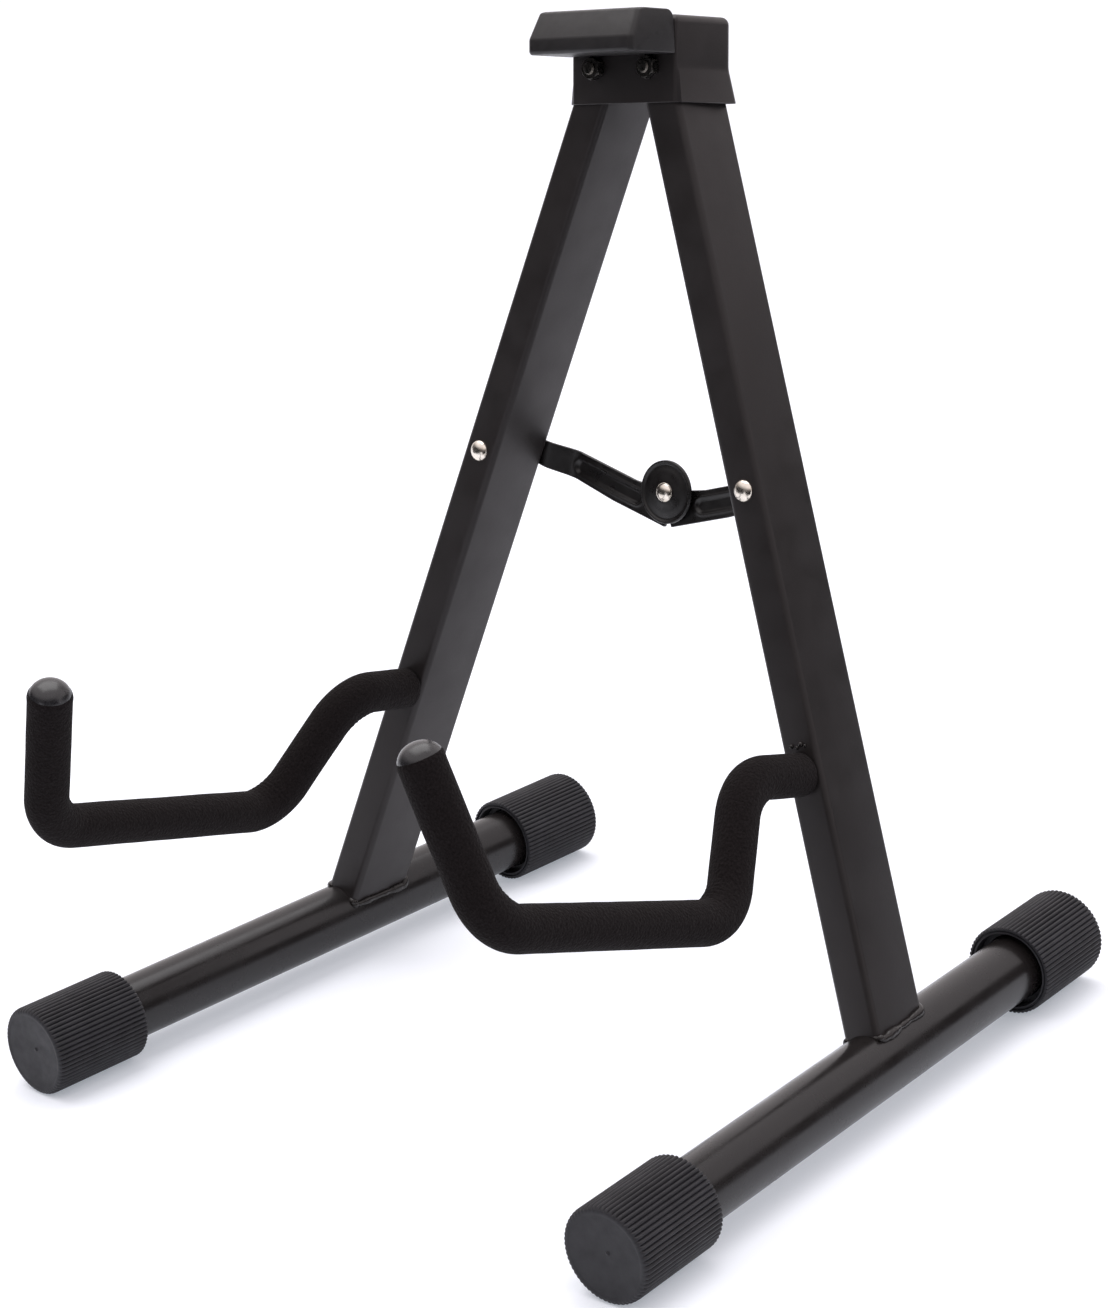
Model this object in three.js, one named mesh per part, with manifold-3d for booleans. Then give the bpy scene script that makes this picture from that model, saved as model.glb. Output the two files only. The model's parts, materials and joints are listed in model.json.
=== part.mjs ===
// Folding A-frame guitar stand, millimetres, +Z up, -Y is the front, where the guitar rests.
// The origin is on the floor, under the middle of the stand's overall width and depth.

import * as THREE from 'three';
import { mergeVertices } from 'three/addons/utils/BufferGeometryUtils.js';
import Module from 'manifold-3d';

const wasm = await Module();
wasm.setup();

// ---------------------------------------------------------------- driving dimensions

const GAP = 0.3; // left between pieces that touch
const LEFT = -1;
const RIGHT = 1;

// Stance. "Height" in the A-frame is measured along its leaning plane, from the floor tubes' centre.
const FOOT_BEHIND_ORIGIN = 37.35;
const FOOT_SPACING = 273; // between the feet of the two legs
const LEAN = THREE.MathUtils.degToRad(11.1); // the A-frame leans back
const TOE_IN = THREE.MathUtils.degToRad(2.9); // the floor tubes close towards the rear
const PIVOT_HEIGHT = 353.4;
const PIVOT_SPACING = 26.6;
const HEAD_ROCK = THREE.MathUtils.degToRad(3.7); // the head rocks this far on the two legs
const HEAD_SHIFT = -0.9; // and sits this far to the left

// Legs: rectangular steel tube.
const LEG_WIDTH = 16; // across the A-frame
const LEG_DEPTH = 30; // front to rear
const LEG_WALL = 1.5;
const LEG_CORNER = 2.5;
const LEG_ABOVE_PIVOT = 10;

// Floor tubes and their end caps.
const FLOOR_TUBE_RADIUS = 12.5;
const FLOOR_TUBE_WALL = 1.5;
const FRONT_REACH = 172.2; // from the leg's foot to the front cap's end
const REAR_REACH = 126.8;
const CAP_RADIUS = 17.75;
const CAP_LENGTH = 43;
const CAP_END_THICKNESS = 3.5;
const CAP_RIM = 1.5;
const CAP_MOUTH_RADIUS = 14.8; // the open end is wider than the tube
const CAP_MOUTH_DEPTH = 5;
const CAP_SEGMENTS = 40;

// Cradles: a bent rod in a foam sleeve, with a domed tip. Both are the same bent part.
const CRADLE_HEIGHT = 100.5; // where the rod leaves the leg
const CRADLE_INSET = 1.2; // towards the inner edge of the leg's front face
const CRADLE_TURN = THREE.MathUtils.degToRad(3.8); // both point slightly to +X
const CRADLE_CORNERS = [
  new THREE.Vector2(0, 0), // distance in front of the leg, height along the leg
  new THREE.Vector2(37.6, 2.9),
  new THREE.Vector2(64.4, -44.8),
  new THREE.Vector2(190.4, -27.5),
  new THREE.Vector2(208.4, 35.7),
];
const CRADLE_BEND_RADII = [22, 20, 22];
const ROD_RADIUS = 4;
const FOAM_RADIUS = 8.4;
const FOAM_BORE_RADIUS = 5.1;
const ROD_START = 0.5; // the rod leaves the leg at a slight angle, so its end stays clear
const FOAM_START = 1.4;
const TIP_HEIGHT = 7.5;
const TIP_SOCKET_DEPTH = 4;

// Head: a steel housing over the leg tops, with a pad in front. Heights are above its lower edge.
const HOUSING_WIDTH = 51.5;
const HOUSING_DEPTH = 33.6;
const HOUSING_TOP = 32.5;
const HOUSING_FOLD = 13; // below this the two sides flare outwards
const HOUSING_FLARE = 3.6;
const HOUSING_WALL = 1.2;
const HOUSING_CORNER = 2.2;
const HOUSING_TOP_ROUND = 3;
const PIVOT_ABOVE_EDGE = 13.4;
const PAD_FRONT = 42.5; // from the A-frame's middle plane
const PAD_BOTTOM = 17.9;
const PAD_STRIP_TOP = 23.7; // the upright front strip ends here and the slope starts
const PAD_SLOPE_RUN = 6.5;
const PAD_TOP = 34.2;
const PAD_EDGE = 1.4;
const PAD_SCREW_SPACING = 28;
const PAD_SCREW_HEIGHT = 28;

// Pivot bolts, M5, with lock nuts in front.
const BOLT_RADIUS = 2.5;
const BOLT_HOLE_RADIUS = 2.8;
const HEX_ACROSS_FLATS = 8;
const NUT_LENGTH = 3.5;
const BOLT_END = 1.2; // how far the bolt stands proud of its nut
const BOLT_HEAD_LENGTH = 3.5;
const SLEEVE_RADIUS = 4;

// Spreader brace: two stamped arms with a pivot disc where they meet.
const BRACE_RIVET_HEIGHT = 201;
const ARM_LENGTH = 67.3; // between rivets
const ARM_THICKNESS = 1.5;
const ARM_END_RADIUS = 5;
const ARM_HUB_RADIUS = 9;
const ARM_EAR_REACH = 14.3; // from the hub's centre down to the corner where the arms butt
const ARM_BUTT_GAP = 0.5;
const ARM_WAIST = new THREE.Vector2(27, -11.3); // a slight bow in the lower edge
const ARM_NECK = new THREE.Vector2(17, -0.1); // where the upper edge turns up into the hub's lobe
const ARM_LOBE_START = THREE.MathUtils.degToRad(20);
const ARM_JOGGLE_START = 7;
const ARM_JOGGLE_END = 19;
const LEFT_ARM_FRONT = 22.4; // distance of the arms' flat behind the A-frame's middle plane
const RIGHT_ARM_FRONT = LEFT_ARM_FRONT + ARM_THICKNESS + GAP;
const ARM_LEG_END_FRONT = LEG_DEPTH / 2 + 0.6;
const DISC_RADIUS = 12.5;
const DISC_THICKNESS = 0.9;
const DISC_DISH = 0.9;
const RIVET_HEAD_RADIUS = 4.2;
const RIVET_HEAD_HEIGHT = 2;
const RIVET_SHANK_RADIUS = 2.5;
const RIVET_HOLE_RADIUS = 2.8;

// ---------------------------------------------------------------- materials

const material = (colour, roughness, metalness) =>
  new THREE.MeshStandardMaterial({ color: colour, roughness, metalness });

const POWDER_COAT = material(0x1c1b1c, 0.45, 0.3);
const RUBBER = material(0x26282b, 0.8, 0);
const FOAM = material(0x121010, 0.95, 0);
const PLASTIC = material(0x222326, 0.55, 0);
const BLACK_STEEL = material(0x161616, 0.35, 0.6);
const NICKEL = material(0xcfc8ba, 0.22, 1);

// ---------------------------------------------------------------- geometry helpers

/** A geometry with its shared vertices merged and its faces pointing out. */
function closed(geometry) {
  geometry.deleteAttribute('normal');
  geometry.deleteAttribute('uv');
  const merged = mergeVertices(geometry);
  const position = merged.getAttribute('position');
  const index = merged.getIndex();
  const corners = [new THREE.Vector3(), new THREE.Vector3(), new THREE.Vector3()];
  let volume = 0;
  for (let i = 0; i < index.count; i += 3) {
    corners.forEach((corner, k) => corner.fromBufferAttribute(position, index.getX(i + k)));
    volume += corners[0].dot(corners[1].cross(corners[2]));
  }
  if (volume < 0) index.array.reverse();
  return merged;
}

function toManifold(geometry) {
  const merged = closed(geometry);
  return new wasm.Manifold(new wasm.Mesh({
    numProp: 3,
    vertProperties: new Float32Array(merged.getAttribute('position').array),
    triVerts: new Uint32Array(merged.getIndex().array),
  }));
}

function fromManifold(manifold) {
  const mesh = manifold.getMesh();
  const geometry = new THREE.BufferGeometry();
  geometry.setAttribute('position', new THREE.BufferAttribute(mesh.vertProperties, 3));
  geometry.setIndex(new THREE.BufferAttribute(mesh.triVerts, 1));
  return geometry;
}

/** The first geometry less all the others. */
function cut(geometry, ...tools) {
  const solid = tools.reduce((rest, tool) => rest.subtract(toManifold(tool)), toManifold(geometry));
  return fromManifold(solid);
}

function common(first, second) {
  return fromManifold(toManifold(first).intersect(toManifold(second)));
}

/** A solid turned about the Y axis from [radius, y] points, with a flat facet facing -Z. */
function turned(points, segments) {
  const profile = points.map(([radius, y]) => new THREE.Vector2(radius, y));
  return new THREE.LatheGeometry(profile, segments, Math.PI / segments);
}

/** A solid cylinder along Y, from y0 to y1. */
function pin(radius, y0, y1, segments = 20) {
  return turned([[0, y0], [radius, y0], [radius, y1], [0, y1]], segments);
}

/** A pipe along Y, from y0 to y1. */
function pipe(outer, inner, y0, y1, segments) {
  return turned([[inner, y0], [outer, y0], [outer, y1], [inner, y1], [inner, y0]], segments);
}

function box(x0, x1, y0, y1, z0, z1) {
  const geometry = new THREE.BoxGeometry(x1 - x0, y1 - y0, z1 - z0);
  return geometry.translate((x0 + x1) / 2, (y0 + y1) / 2, (z0 + z1) / 2);
}

function roundedRectangle(width, depth, radius) {
  const shape = new THREE.Shape();
  const x = width / 2 - radius;
  const y = depth / 2 - radius;
  shape.absarc(x, y, radius, 0, Math.PI / 2);
  shape.absarc(-x, y, radius, Math.PI / 2, Math.PI);
  shape.absarc(-x, -y, radius, Math.PI, 1.5 * Math.PI);
  shape.absarc(x, -y, radius, 1.5 * Math.PI, 2 * Math.PI);
  return shape;
}

function circle(x, y, radius) {
  return new THREE.Path().absarc(x, y, radius, 0, 2 * Math.PI, true);
}

/** Extrudes an outline drawn in X and Z along Y, from y0 to y1. */
function extrudeAlongY(shape, y0, y1, curveSegments = 8) {
  const geometry = new THREE.ExtrudeGeometry(shape, { depth: y1 - y0, bevelEnabled: false, curveSegments });
  return geometry.rotateX(Math.PI / 2).translate(0, y1, 0);
}

/** A solid through a row of rings of the same number of points, closed to a point at both ends. */
function loft(rings) {
  const count = rings[0].length;
  const middle = (ring) => ring.reduce((sum, p) => sum.add(p), new THREE.Vector3()).divideScalar(count);
  const points = [middle(rings[0]), ...rings.flat(), middle(rings.at(-1))];
  const last = points.length - 1;
  const at = (ring, k) => 1 + ring * count + (k % count);
  const index = [];
  for (let k = 0; k < count; k++) {
    index.push(0, at(0, k + 1), at(0, k));
    index.push(last, at(rings.length - 1, k), at(rings.length - 1, k + 1));
    for (let ring = 0; ring < rings.length - 1; ring++) {
      index.push(at(ring, k), at(ring, k + 1), at(ring + 1, k));
      index.push(at(ring, k + 1), at(ring + 1, k + 1), at(ring + 1, k));
    }
  }
  const geometry = new THREE.BufferGeometry().setFromPoints(points);
  geometry.setIndex(index);
  return geometry;
}

function named(name, geometry, mat) {
  const mesh = new THREE.Mesh(closed(geometry), mat);
  mesh.name = name;
  return mesh;
}

const sideName = (side) => (side === LEFT ? 'left' : 'right');

// ---------------------------------------------------------------- the frames that pieces sit in

const stand = new THREE.Group();

// The A-frame's own frame: X across, Y to the rear, square to its plane, Z up along its plane.
const aFrame = new THREE.Group();
aFrame.position.set(0, FOOT_BEHIND_ORIGIN, CAP_RADIUS);
aFrame.rotation.x = -LEAN;
stand.add(aFrame);

const head = new THREE.Group();
head.position.set(HEAD_SHIFT, 0, PIVOT_HEIGHT);
head.rotation.y = -HEAD_ROCK;
aFrame.add(head);

/** The centre of a pivot bolt, in the A-frame's frame. */
function pivotPoint(side) {
  head.updateMatrix();
  return new THREE.Vector3(side * PIVOT_SPACING / 2, 0, 0).applyMatrix4(head.matrix);
}

/** The angle between a leg and the A-frame's centre line. */
function splay(side) {
  const pivot = pivotPoint(side);
  return Math.atan2(FOOT_SPACING / 2 - Math.abs(pivot.x), pivot.z);
}

/** The leg's centre line at a height, in the A-frame's frame. */
function onLeg(side, height) {
  const pivot = pivotPoint(side);
  return new THREE.Vector3(pivot.x + side * (pivot.z - height) * Math.tan(splay(side)), 0, height);
}

/** A leg's frame: origin at its pivot, Z up along the leg. */
function legFrame(side) {
  const group = new THREE.Group();
  group.position.copy(pivotPoint(side));
  group.rotation.y = -side * splay(side);
  aFrame.add(group);
  return group;
}

/** A floor tube's frame: origin at the leg's foot, Y along the tube. */
function floorTubeFrame(side) {
  const group = new THREE.Group();
  group.position.set(side * FOOT_SPACING / 2, FOOT_BEHIND_ORIGIN, CAP_RADIUS);
  group.rotation.z = side * TOE_IN;
  stand.add(group);
  return group;
}

/** Distance along a leg from its pivot down to a height, as a Z in the leg's frame. */
const alongLeg = (side, height) => -(pivotPoint(side).z - height) / Math.cos(splay(side));

// ---------------------------------------------------------------- head

/** The housing's outline at one level, inset by the wall or the top's rounding. */
function housingRing(height, flare, inset, shrink = 0) {
  const x = HOUSING_WIDTH / 2 - inset - shrink;
  const y = HOUSING_DEPTH / 2 - inset - shrink;
  const corner = HOUSING_CORNER;
  const quarter = [
    [x + flare, 0],
    [x + flare, y - corner],
    [x + 0.6 * flare - 0.3 * corner, y - 0.3 * corner],
    [x - corner, y],
    [0, y],
  ];
  const rightHalf = [
    ...quarter.map(([px, py]) => [px, -py]).reverse(),
    ...quarter.slice(1),
  ];
  const leftHalf = rightHalf.slice(1, -1).map(([px, py]) => [-px, py]).reverse();
  const z = height - PIVOT_ABOVE_EDGE;
  return [...rightHalf, ...leftHalf].map(([px, py]) => new THREE.Vector3(px, py, z));
}

function housing() {
  const top = HOUSING_TOP;
  const round = HOUSING_TOP_ROUND;
  const rings = [];
  for (const angle of [90, 60, 30, 0]) {
    const a = THREE.MathUtils.degToRad(angle);
    rings.push(housingRing(top - round * (1 - Math.sin(a)), 0, 0, round * (1 - Math.cos(a))));
  }
  rings.push(housingRing(HOUSING_FOLD, 0, 0));
  rings.push(housingRing(0, HOUSING_FLARE, 0));
  rings.push(housingRing(0, HOUSING_FLARE, HOUSING_WALL));
  rings.push(housingRing(HOUSING_FOLD, 0, HOUSING_WALL));
  rings.push(housingRing(top - HOUSING_WALL, 0, HOUSING_WALL));
  const front = HOUSING_DEPTH / 2 + 1;
  const boltHole = (side) => pin(BOLT_HOLE_RADIUS, -front, front).translate(side * PIVOT_SPACING / 2, 0, 0);
  const screwHole = (side) => pin(1.8, -front, 0, 12).translate(...screwPlace(side));
  return cut(loft(rings), boltHole(LEFT), boltHole(RIGHT), screwHole(LEFT), screwHole(RIGHT));
}

const screwPlace = (side) => [side * PAD_SCREW_SPACING / 2, 0, PAD_SCREW_HEIGHT - PIVOT_ABOVE_EDGE];

function pad() {
  const rear = -HOUSING_DEPTH / 2 - GAP;
  const edge = PAD_EDGE;
  const z = (height) => height - PIVOT_ABOVE_EDGE;
  const profile = new THREE.Shape([
    new THREE.Vector2(rear, z(PAD_BOTTOM)),
    new THREE.Vector2(rear, z(PAD_TOP)),
    new THREE.Vector2(-PAD_FRONT + PAD_SLOPE_RUN + 3, z(PAD_TOP)),
    new THREE.Vector2(-PAD_FRONT + PAD_SLOPE_RUN, z(PAD_TOP - 1)),
    new THREE.Vector2(-PAD_FRONT, z(PAD_STRIP_TOP)),
    new THREE.Vector2(-PAD_FRONT, z(PAD_BOTTOM + 1)),
    new THREE.Vector2(-PAD_FRONT + 1, z(PAD_BOTTOM)),
  ]);
  const block = new THREE.ExtrudeGeometry(profile, {
    depth: HOUSING_WIDTH - 2 * edge,
    bevelThickness: edge,
    bevelSize: edge,
    bevelOffset: -edge,
    bevelSegments: 2,
  });
  // The outline's first axis is Y and its second is Z.
  block.rotateX(Math.PI / 2).rotateZ(Math.PI / 2).translate(-HOUSING_WIDTH / 2 + edge, 0, 0);
  const screwHole = (side) => pin(1.8, rear - 11, rear + 1, 12).translate(...screwPlace(side));
  return cut(block, screwHole(LEFT), screwHole(RIGHT));
}

function padScrew(side) {
  const wall = -HOUSING_DEPTH / 2 + HOUSING_WALL + GAP;
  const profile = [[0, wall - 12], [1.5, wall - 11], [1.5, wall], [3.4, wall], [2.6, wall + 1.8], [0, wall + 2]];
  return turned(profile, 16).translate(...screwPlace(side));
}

/** A hexagonal prism along Y, with a flat on top. */
function hexPrism(y0, y1) {
  const radius = HEX_ACROSS_FLATS / Math.sqrt(3);
  const prism = new THREE.CylinderGeometry(radius, radius, y1 - y0, 6).rotateY(Math.PI / 6);
  return prism.translate(0, (y0 + y1) / 2, 0);
}

function pivotBolt() {
  const wall = HOUSING_DEPTH / 2 + GAP;
  const shank = pin(BOLT_RADIUS, -wall - NUT_LENGTH - BOLT_END, wall + 1);
  const boltHead = hexPrism(wall, wall + BOLT_HEAD_LENGTH);
  return fromManifold(toManifold(shank).add(toManifold(boltHead)));
}

function lockNut() {
  const wall = -HOUSING_DEPTH / 2 - GAP;
  return cut(hexPrism(wall - NUT_LENGTH, wall), pin(BOLT_HOLE_RADIUS, wall - NUT_LENGTH - 1, wall + 1));
}

function addHead() {
  head.add(named('head_housing', housing(), POWDER_COAT));
  head.add(named('head_pad', pad(), PLASTIC));
  for (const side of [LEFT, RIGHT]) {
    const bolt = named(`${sideName(side)}_pivot_bolt`, pivotBolt(), BLACK_STEEL);
    const nut = named(`${sideName(side)}_pivot_nut`, lockNut(), BLACK_STEEL);
    bolt.position.x = side * PIVOT_SPACING / 2;
    nut.position.x = side * PIVOT_SPACING / 2;
    head.add(bolt, nut);
    head.add(named(`${sideName(side)}_pad_screw`, padScrew(side), BLACK_STEEL));
  }
}

// ---------------------------------------------------------------- legs and floor tubes

/** A leg's rectangular tube, coped at its foot to sit on the floor tube. */
function legTube(side, leg, floor) {
  const length = -alongLeg(side, 0) + FLOOR_TUBE_RADIUS * 2 + LEG_ABOVE_PIVOT;
  const outline = roundedRectangle(LEG_WIDTH, LEG_DEPTH, LEG_CORNER);
  outline.holes.push(roundedRectangle(
    LEG_WIDTH - 2 * LEG_WALL, LEG_DEPTH - 2 * LEG_WALL, LEG_CORNER - LEG_WALL));
  const tube = new THREE.ExtrudeGeometry(outline, { depth: length, bevelEnabled: false, curveSegments: 4 });
  tube.translate(0, 0, LEG_ABOVE_PIVOT - length);
  const reach = LEG_DEPTH;
  const floorToLeg = leg.matrixWorld.clone().invert().multiply(floor.matrixWorld);
  const saddle = pin(FLOOR_TUBE_RADIUS + GAP, -reach, reach, 32).applyMatrix4(floorToLeg);
  const below = box(-reach, reach, -reach, reach, -2 * reach, 0).applyMatrix4(floorToLeg);
  const sleeveHole = pin(SLEEVE_RADIUS + GAP, -reach, reach, 16);
  const rivetHole = pin(RIVET_HOLE_RADIUS, -reach, reach, 16);
  rivetHole.translate(0, 0, alongLeg(side, BRACE_RIVET_HEIGHT));
  return cut(tube, saddle, below, sleeveHole, rivetHole);
}

function pivotSleeve() {
  const end = HOUSING_DEPTH / 2 - HOUSING_WALL - GAP;
  return pipe(SLEEVE_RADIUS, BOLT_HOLE_RADIUS, -end, end, 16);
}

/** A domed rivet along Y through the leg and the end of its brace arm. */
function braceRivet() {
  const front = -LEG_DEPTH / 2 - GAP;
  const rear = ARM_LEG_END_FRONT + ARM_THICKNESS + GAP;
  return turned([
    ...dome(front, -1),
    [RIVET_SHANK_RADIUS, front],
    [RIVET_SHANK_RADIUS, rear],
    ...dome(rear, 1).reverse(),
  ], 20);
}

/** A rivet head's profile, from its crown on the axis to its edge at y. */
function dome(y, direction, radius = RIVET_HEAD_RADIUS, height = RIVET_HEAD_HEIGHT) {
  return [0, 30, 55, 75, 90].map((degrees) => {
    const angle = THREE.MathUtils.degToRad(degrees);
    return [radius * Math.sin(angle), y + direction * height * Math.cos(angle)];
  });
}

function floorTube() {
  const end = CAP_END_THICKNESS + GAP;
  return pipe(FLOOR_TUBE_RADIUS, FLOOR_TUBE_RADIUS - FLOOR_TUBE_WALL, end - FRONT_REACH, REAR_REACH - end, 32);
}

/** An end cap for the tube's rear end: closed at its outer end, with a wide recessed mouth. */
function endCap(reach, direction) {
  const roundUp = 1 / Math.cos(Math.PI / CAP_SEGMENTS); // so that the facets' middles are at the radius
  const bore = FLOOR_TUBE_RADIUS + 2 * GAP;
  const y = (depth) => direction * (reach - depth);
  const outer = CAP_RADIUS * roundUp;
  return turned([
    [0, y(0.6)],
    [outer - 4, y(0.3)],
    [outer - CAP_RIM, y(0)],
    [outer, y(CAP_RIM)],
    [outer, y(CAP_LENGTH - 1)],
    [outer - 1, y(CAP_LENGTH)],
    [CAP_MOUTH_RADIUS, y(CAP_LENGTH)],
    [CAP_MOUTH_RADIUS, y(CAP_LENGTH - CAP_MOUTH_DEPTH)],
    [bore, y(CAP_LENGTH - CAP_MOUTH_DEPTH)],
    [bore, y(CAP_END_THICKNESS)],
    [0, y(CAP_END_THICKNESS)],
  ], CAP_SEGMENTS);
}

// ---------------------------------------------------------------- cradles

/** A line through corners, each rounded by an arc. */
function roundedLine(corners, radii) {
  const line = new THREE.Path();
  line.moveTo(corners[0].x, corners[0].y);
  for (let i = 1; i < corners.length - 1; i++) {
    const radius = radii[i - 1];
    const before = corners[i].clone().sub(corners[i - 1]).normalize();
    const after = corners[i + 1].clone().sub(corners[i]).normalize();
    const turn = Math.sign(before.cross(after));
    const half = Math.acos(THREE.MathUtils.clamp(before.dot(after), -1, 1)) / 2;
    const start = corners[i].clone().addScaledVector(before, -radius * Math.tan(half));
    const centre = start.clone().add(new THREE.Vector2(-before.y, before.x).multiplyScalar(turn * radius));
    const angle = Math.atan2(start.y - centre.y, start.x - centre.x);
    line.lineTo(start.x, start.y);
    line.absarc(centre.x, centre.y, radius, angle, angle + turn * 2 * half, turn < 0);
  }
  line.lineTo(corners.at(-1).x, corners.at(-1).y);
  return line;
}

/** The cradle's centre line in its leg's frame, between two distances along it. */
class CradleLine extends THREE.Curve {
  constructor(side, from, to) {
    super();
    this.side = side;
    this.from = from;
    this.to = to;
  }

  getPoint(t) {
    const along = (this.from + (this.to - this.from) * t) / CRADLE_LENGTH;
    const { x: ahead, y: up } = CRADLE_PATH.getPointAt(along);
    return new THREE.Vector3(
      ahead * Math.tan(CRADLE_TURN) - this.side * CRADLE_INSET,
      -LEG_DEPTH / 2 - GAP - ahead,
      up + alongLeg(this.side, CRADLE_HEIGHT),
    );
  }
}

const CRADLE_PATH = roundedLine(CRADLE_CORNERS, CRADLE_BEND_RADII);
CRADLE_PATH.arcLengthDivisions = 400;
const CRADLE_LENGTH = CRADLE_PATH.getLength();
const FOAM_END = CRADLE_LENGTH - TIP_HEIGHT;

function sweep(line, radius, boreRadius, sides, steps) {
  const ring = (r, count) => {
    const points = [];
    for (let k = 0; k < count; k++) {
      const angle = 2 * Math.PI * k / count;
      points.push(new THREE.Vector2(r * Math.cos(angle), r * Math.sin(angle)));
    }
    return points;
  };
  const section = new THREE.Shape(ring(radius, sides));
  if (boreRadius) section.holes.push(new THREE.Path(ring(boreRadius, 8).reverse()));
  return new THREE.ExtrudeGeometry(section, { steps, bevelEnabled: false, extrudePath: line });
}

function cradleRod(side) {
  const end = FOAM_END + TIP_SOCKET_DEPTH - GAP;
  return sweep(new CradleLine(side, ROD_START, end), ROD_RADIUS, 0, 8, 36);
}

function cradleFoam(side) {
  return sweep(new CradleLine(side, FOAM_START, FOAM_END), FOAM_RADIUS, FOAM_BORE_RADIUS, 14, 36);
}

/** The domed tip: turned about Y, then stood on the foam's end. */
function cradleTip(side) {
  const foot = 2 * GAP;
  const socket = ROD_RADIUS + GAP;
  const crown = [90, 65, 40, 20].map((degrees) => {
    const angle = THREE.MathUtils.degToRad(degrees);
    return [FOAM_RADIUS * Math.sin(angle), foot + (TIP_HEIGHT - foot) * Math.cos(angle)];
  });
  const tip = turned([
    [0, TIP_SOCKET_DEPTH + GAP],
    [socket, TIP_SOCKET_DEPTH + GAP],
    [socket, foot],
    ...crown,
    [0, TIP_HEIGHT],
  ], 20);
  const line = new CradleLine(side, FOAM_END - 1, FOAM_END);
  const end = line.getPoint(1);
  const direction = end.clone().sub(line.getPoint(0)).normalize();
  tip.applyQuaternion(new THREE.Quaternion().setFromUnitVectors(new THREE.Vector3(0, 1, 0), direction));
  return tip.translate(end.x, end.y, end.z);
}

function addLeg(side) {
  const name = sideName(side);
  const leg = legFrame(side);
  const floor = floorTubeFrame(side);
  stand.updateMatrixWorld(true);
  const rivet = named(`${name}_brace_rivet`, braceRivet(), NICKEL);
  rivet.position.z = alongLeg(side, BRACE_RIVET_HEIGHT);
  leg.add(
    named(`${name}_leg_tube`, legTube(side, leg, floor), POWDER_COAT),
    named(`${name}_pivot_sleeve`, pivotSleeve(), BLACK_STEEL),
    rivet,
    named(`${name}_cradle_rod`, cradleRod(side), POWDER_COAT),
    named(`${name}_cradle_foam`, cradleFoam(side), FOAM),
    named(`${name}_cradle_tip`, cradleTip(side), RUBBER),
  );
  floor.add(
    named(`${name}_floor_tube`, floorTube(), POWDER_COAT),
    named(`${name}_front_end_cap`, endCap(FRONT_REACH, -1), RUBBER),
    named(`${name}_rear_end_cap`, endCap(REAR_REACH, 1), RUBBER),
  );
}

// ---------------------------------------------------------------- spreader brace

/** Where the two arms meet, in the A-frame's frame. */
function hubPoint() {
  const left = onLeg(LEFT, BRACE_RIVET_HEIGHT);
  const right = onLeg(RIGHT, BRACE_RIVET_HEIGHT);
  const halfSpan = (right.x - left.x) / 2;
  const drop = Math.sqrt(ARM_LENGTH ** 2 - halfSpan ** 2);
  return new THREE.Vector3((left.x + right.x) / 2, 0, BRACE_RIVET_HEIGHT - drop);
}

/** The arm seen from the front: origin at the hub, leg rivet on +X, ear towards -Z. */
function armOutline(dropAngle) {
  const outline = new THREE.Shape();
  const ear = new THREE.Vector2(ARM_BUTT_GAP / 2, -ARM_EAR_REACH);
  ear.rotateAround(new THREE.Vector2(), -dropAngle);
  const lobeEnd = 1.5 * Math.PI - dropAngle + ARM_BUTT_GAP / 2 / ARM_HUB_RADIUS;
  outline.moveTo(ear.x, ear.y);
  outline.lineTo(ARM_WAIST.x, ARM_WAIST.y);
  outline.absarc(ARM_LENGTH, 0, ARM_END_RADIUS, -Math.PI / 2, Math.PI / 2);
  outline.lineTo(ARM_NECK.x, ARM_NECK.y);
  outline.absarc(0, 0, ARM_HUB_RADIUS, ARM_LOBE_START, lobeEnd);
  outline.holes.push(circle(0, 0, RIVET_HOLE_RADIUS));
  outline.holes.push(circle(ARM_LENGTH, 0, RIVET_HOLE_RADIUS));
  return outline;
}

/** The arm seen from above: flat at the hub, stepping forward to the leg's rear face. */
function armProfile(flatFront) {
  const start = ARM_LENGTH - ARM_JOGGLE_START;
  const end = ARM_LENGTH - ARM_JOGGLE_END;
  const far = 2 * ARM_LENGTH;
  const slant = ARM_THICKNESS / 4; // keeps the sloping stretch about as thick as the flats
  return new THREE.Shape([
    new THREE.Vector2(-far, flatFront),
    new THREE.Vector2(end - slant, flatFront),
    new THREE.Vector2(start - slant, ARM_LEG_END_FRONT),
    new THREE.Vector2(far, ARM_LEG_END_FRONT),
    new THREE.Vector2(far, ARM_LEG_END_FRONT + ARM_THICKNESS),
    new THREE.Vector2(start + slant, ARM_LEG_END_FRONT + ARM_THICKNESS),
    new THREE.Vector2(end + slant, flatFront + ARM_THICKNESS),
    new THREE.Vector2(-far, flatFront + ARM_THICKNESS),
  ]);
}

function braceArm(side, flatFront) {
  const legEnd = onLeg(side, BRACE_RIVET_HEIGHT);
  const hub = hubPoint();
  const dropAngle = Math.atan2(legEnd.z - hub.z, Math.abs(legEnd.x - hub.x));
  const plan = extrudeAlongY(armOutline(dropAngle), 0, 2 * ARM_LENGTH, 10);
  const reach = 2 * ARM_LENGTH;
  const profile = new THREE.ExtrudeGeometry(armProfile(flatFront), { depth: reach, bevelEnabled: false });
  profile.translate(0, 0, -reach / 2);
  const arm = common(plan, profile).rotateY(-dropAngle);
  if (side === LEFT) arm.scale(-1, 1, 1);
  return arm;
}

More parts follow.
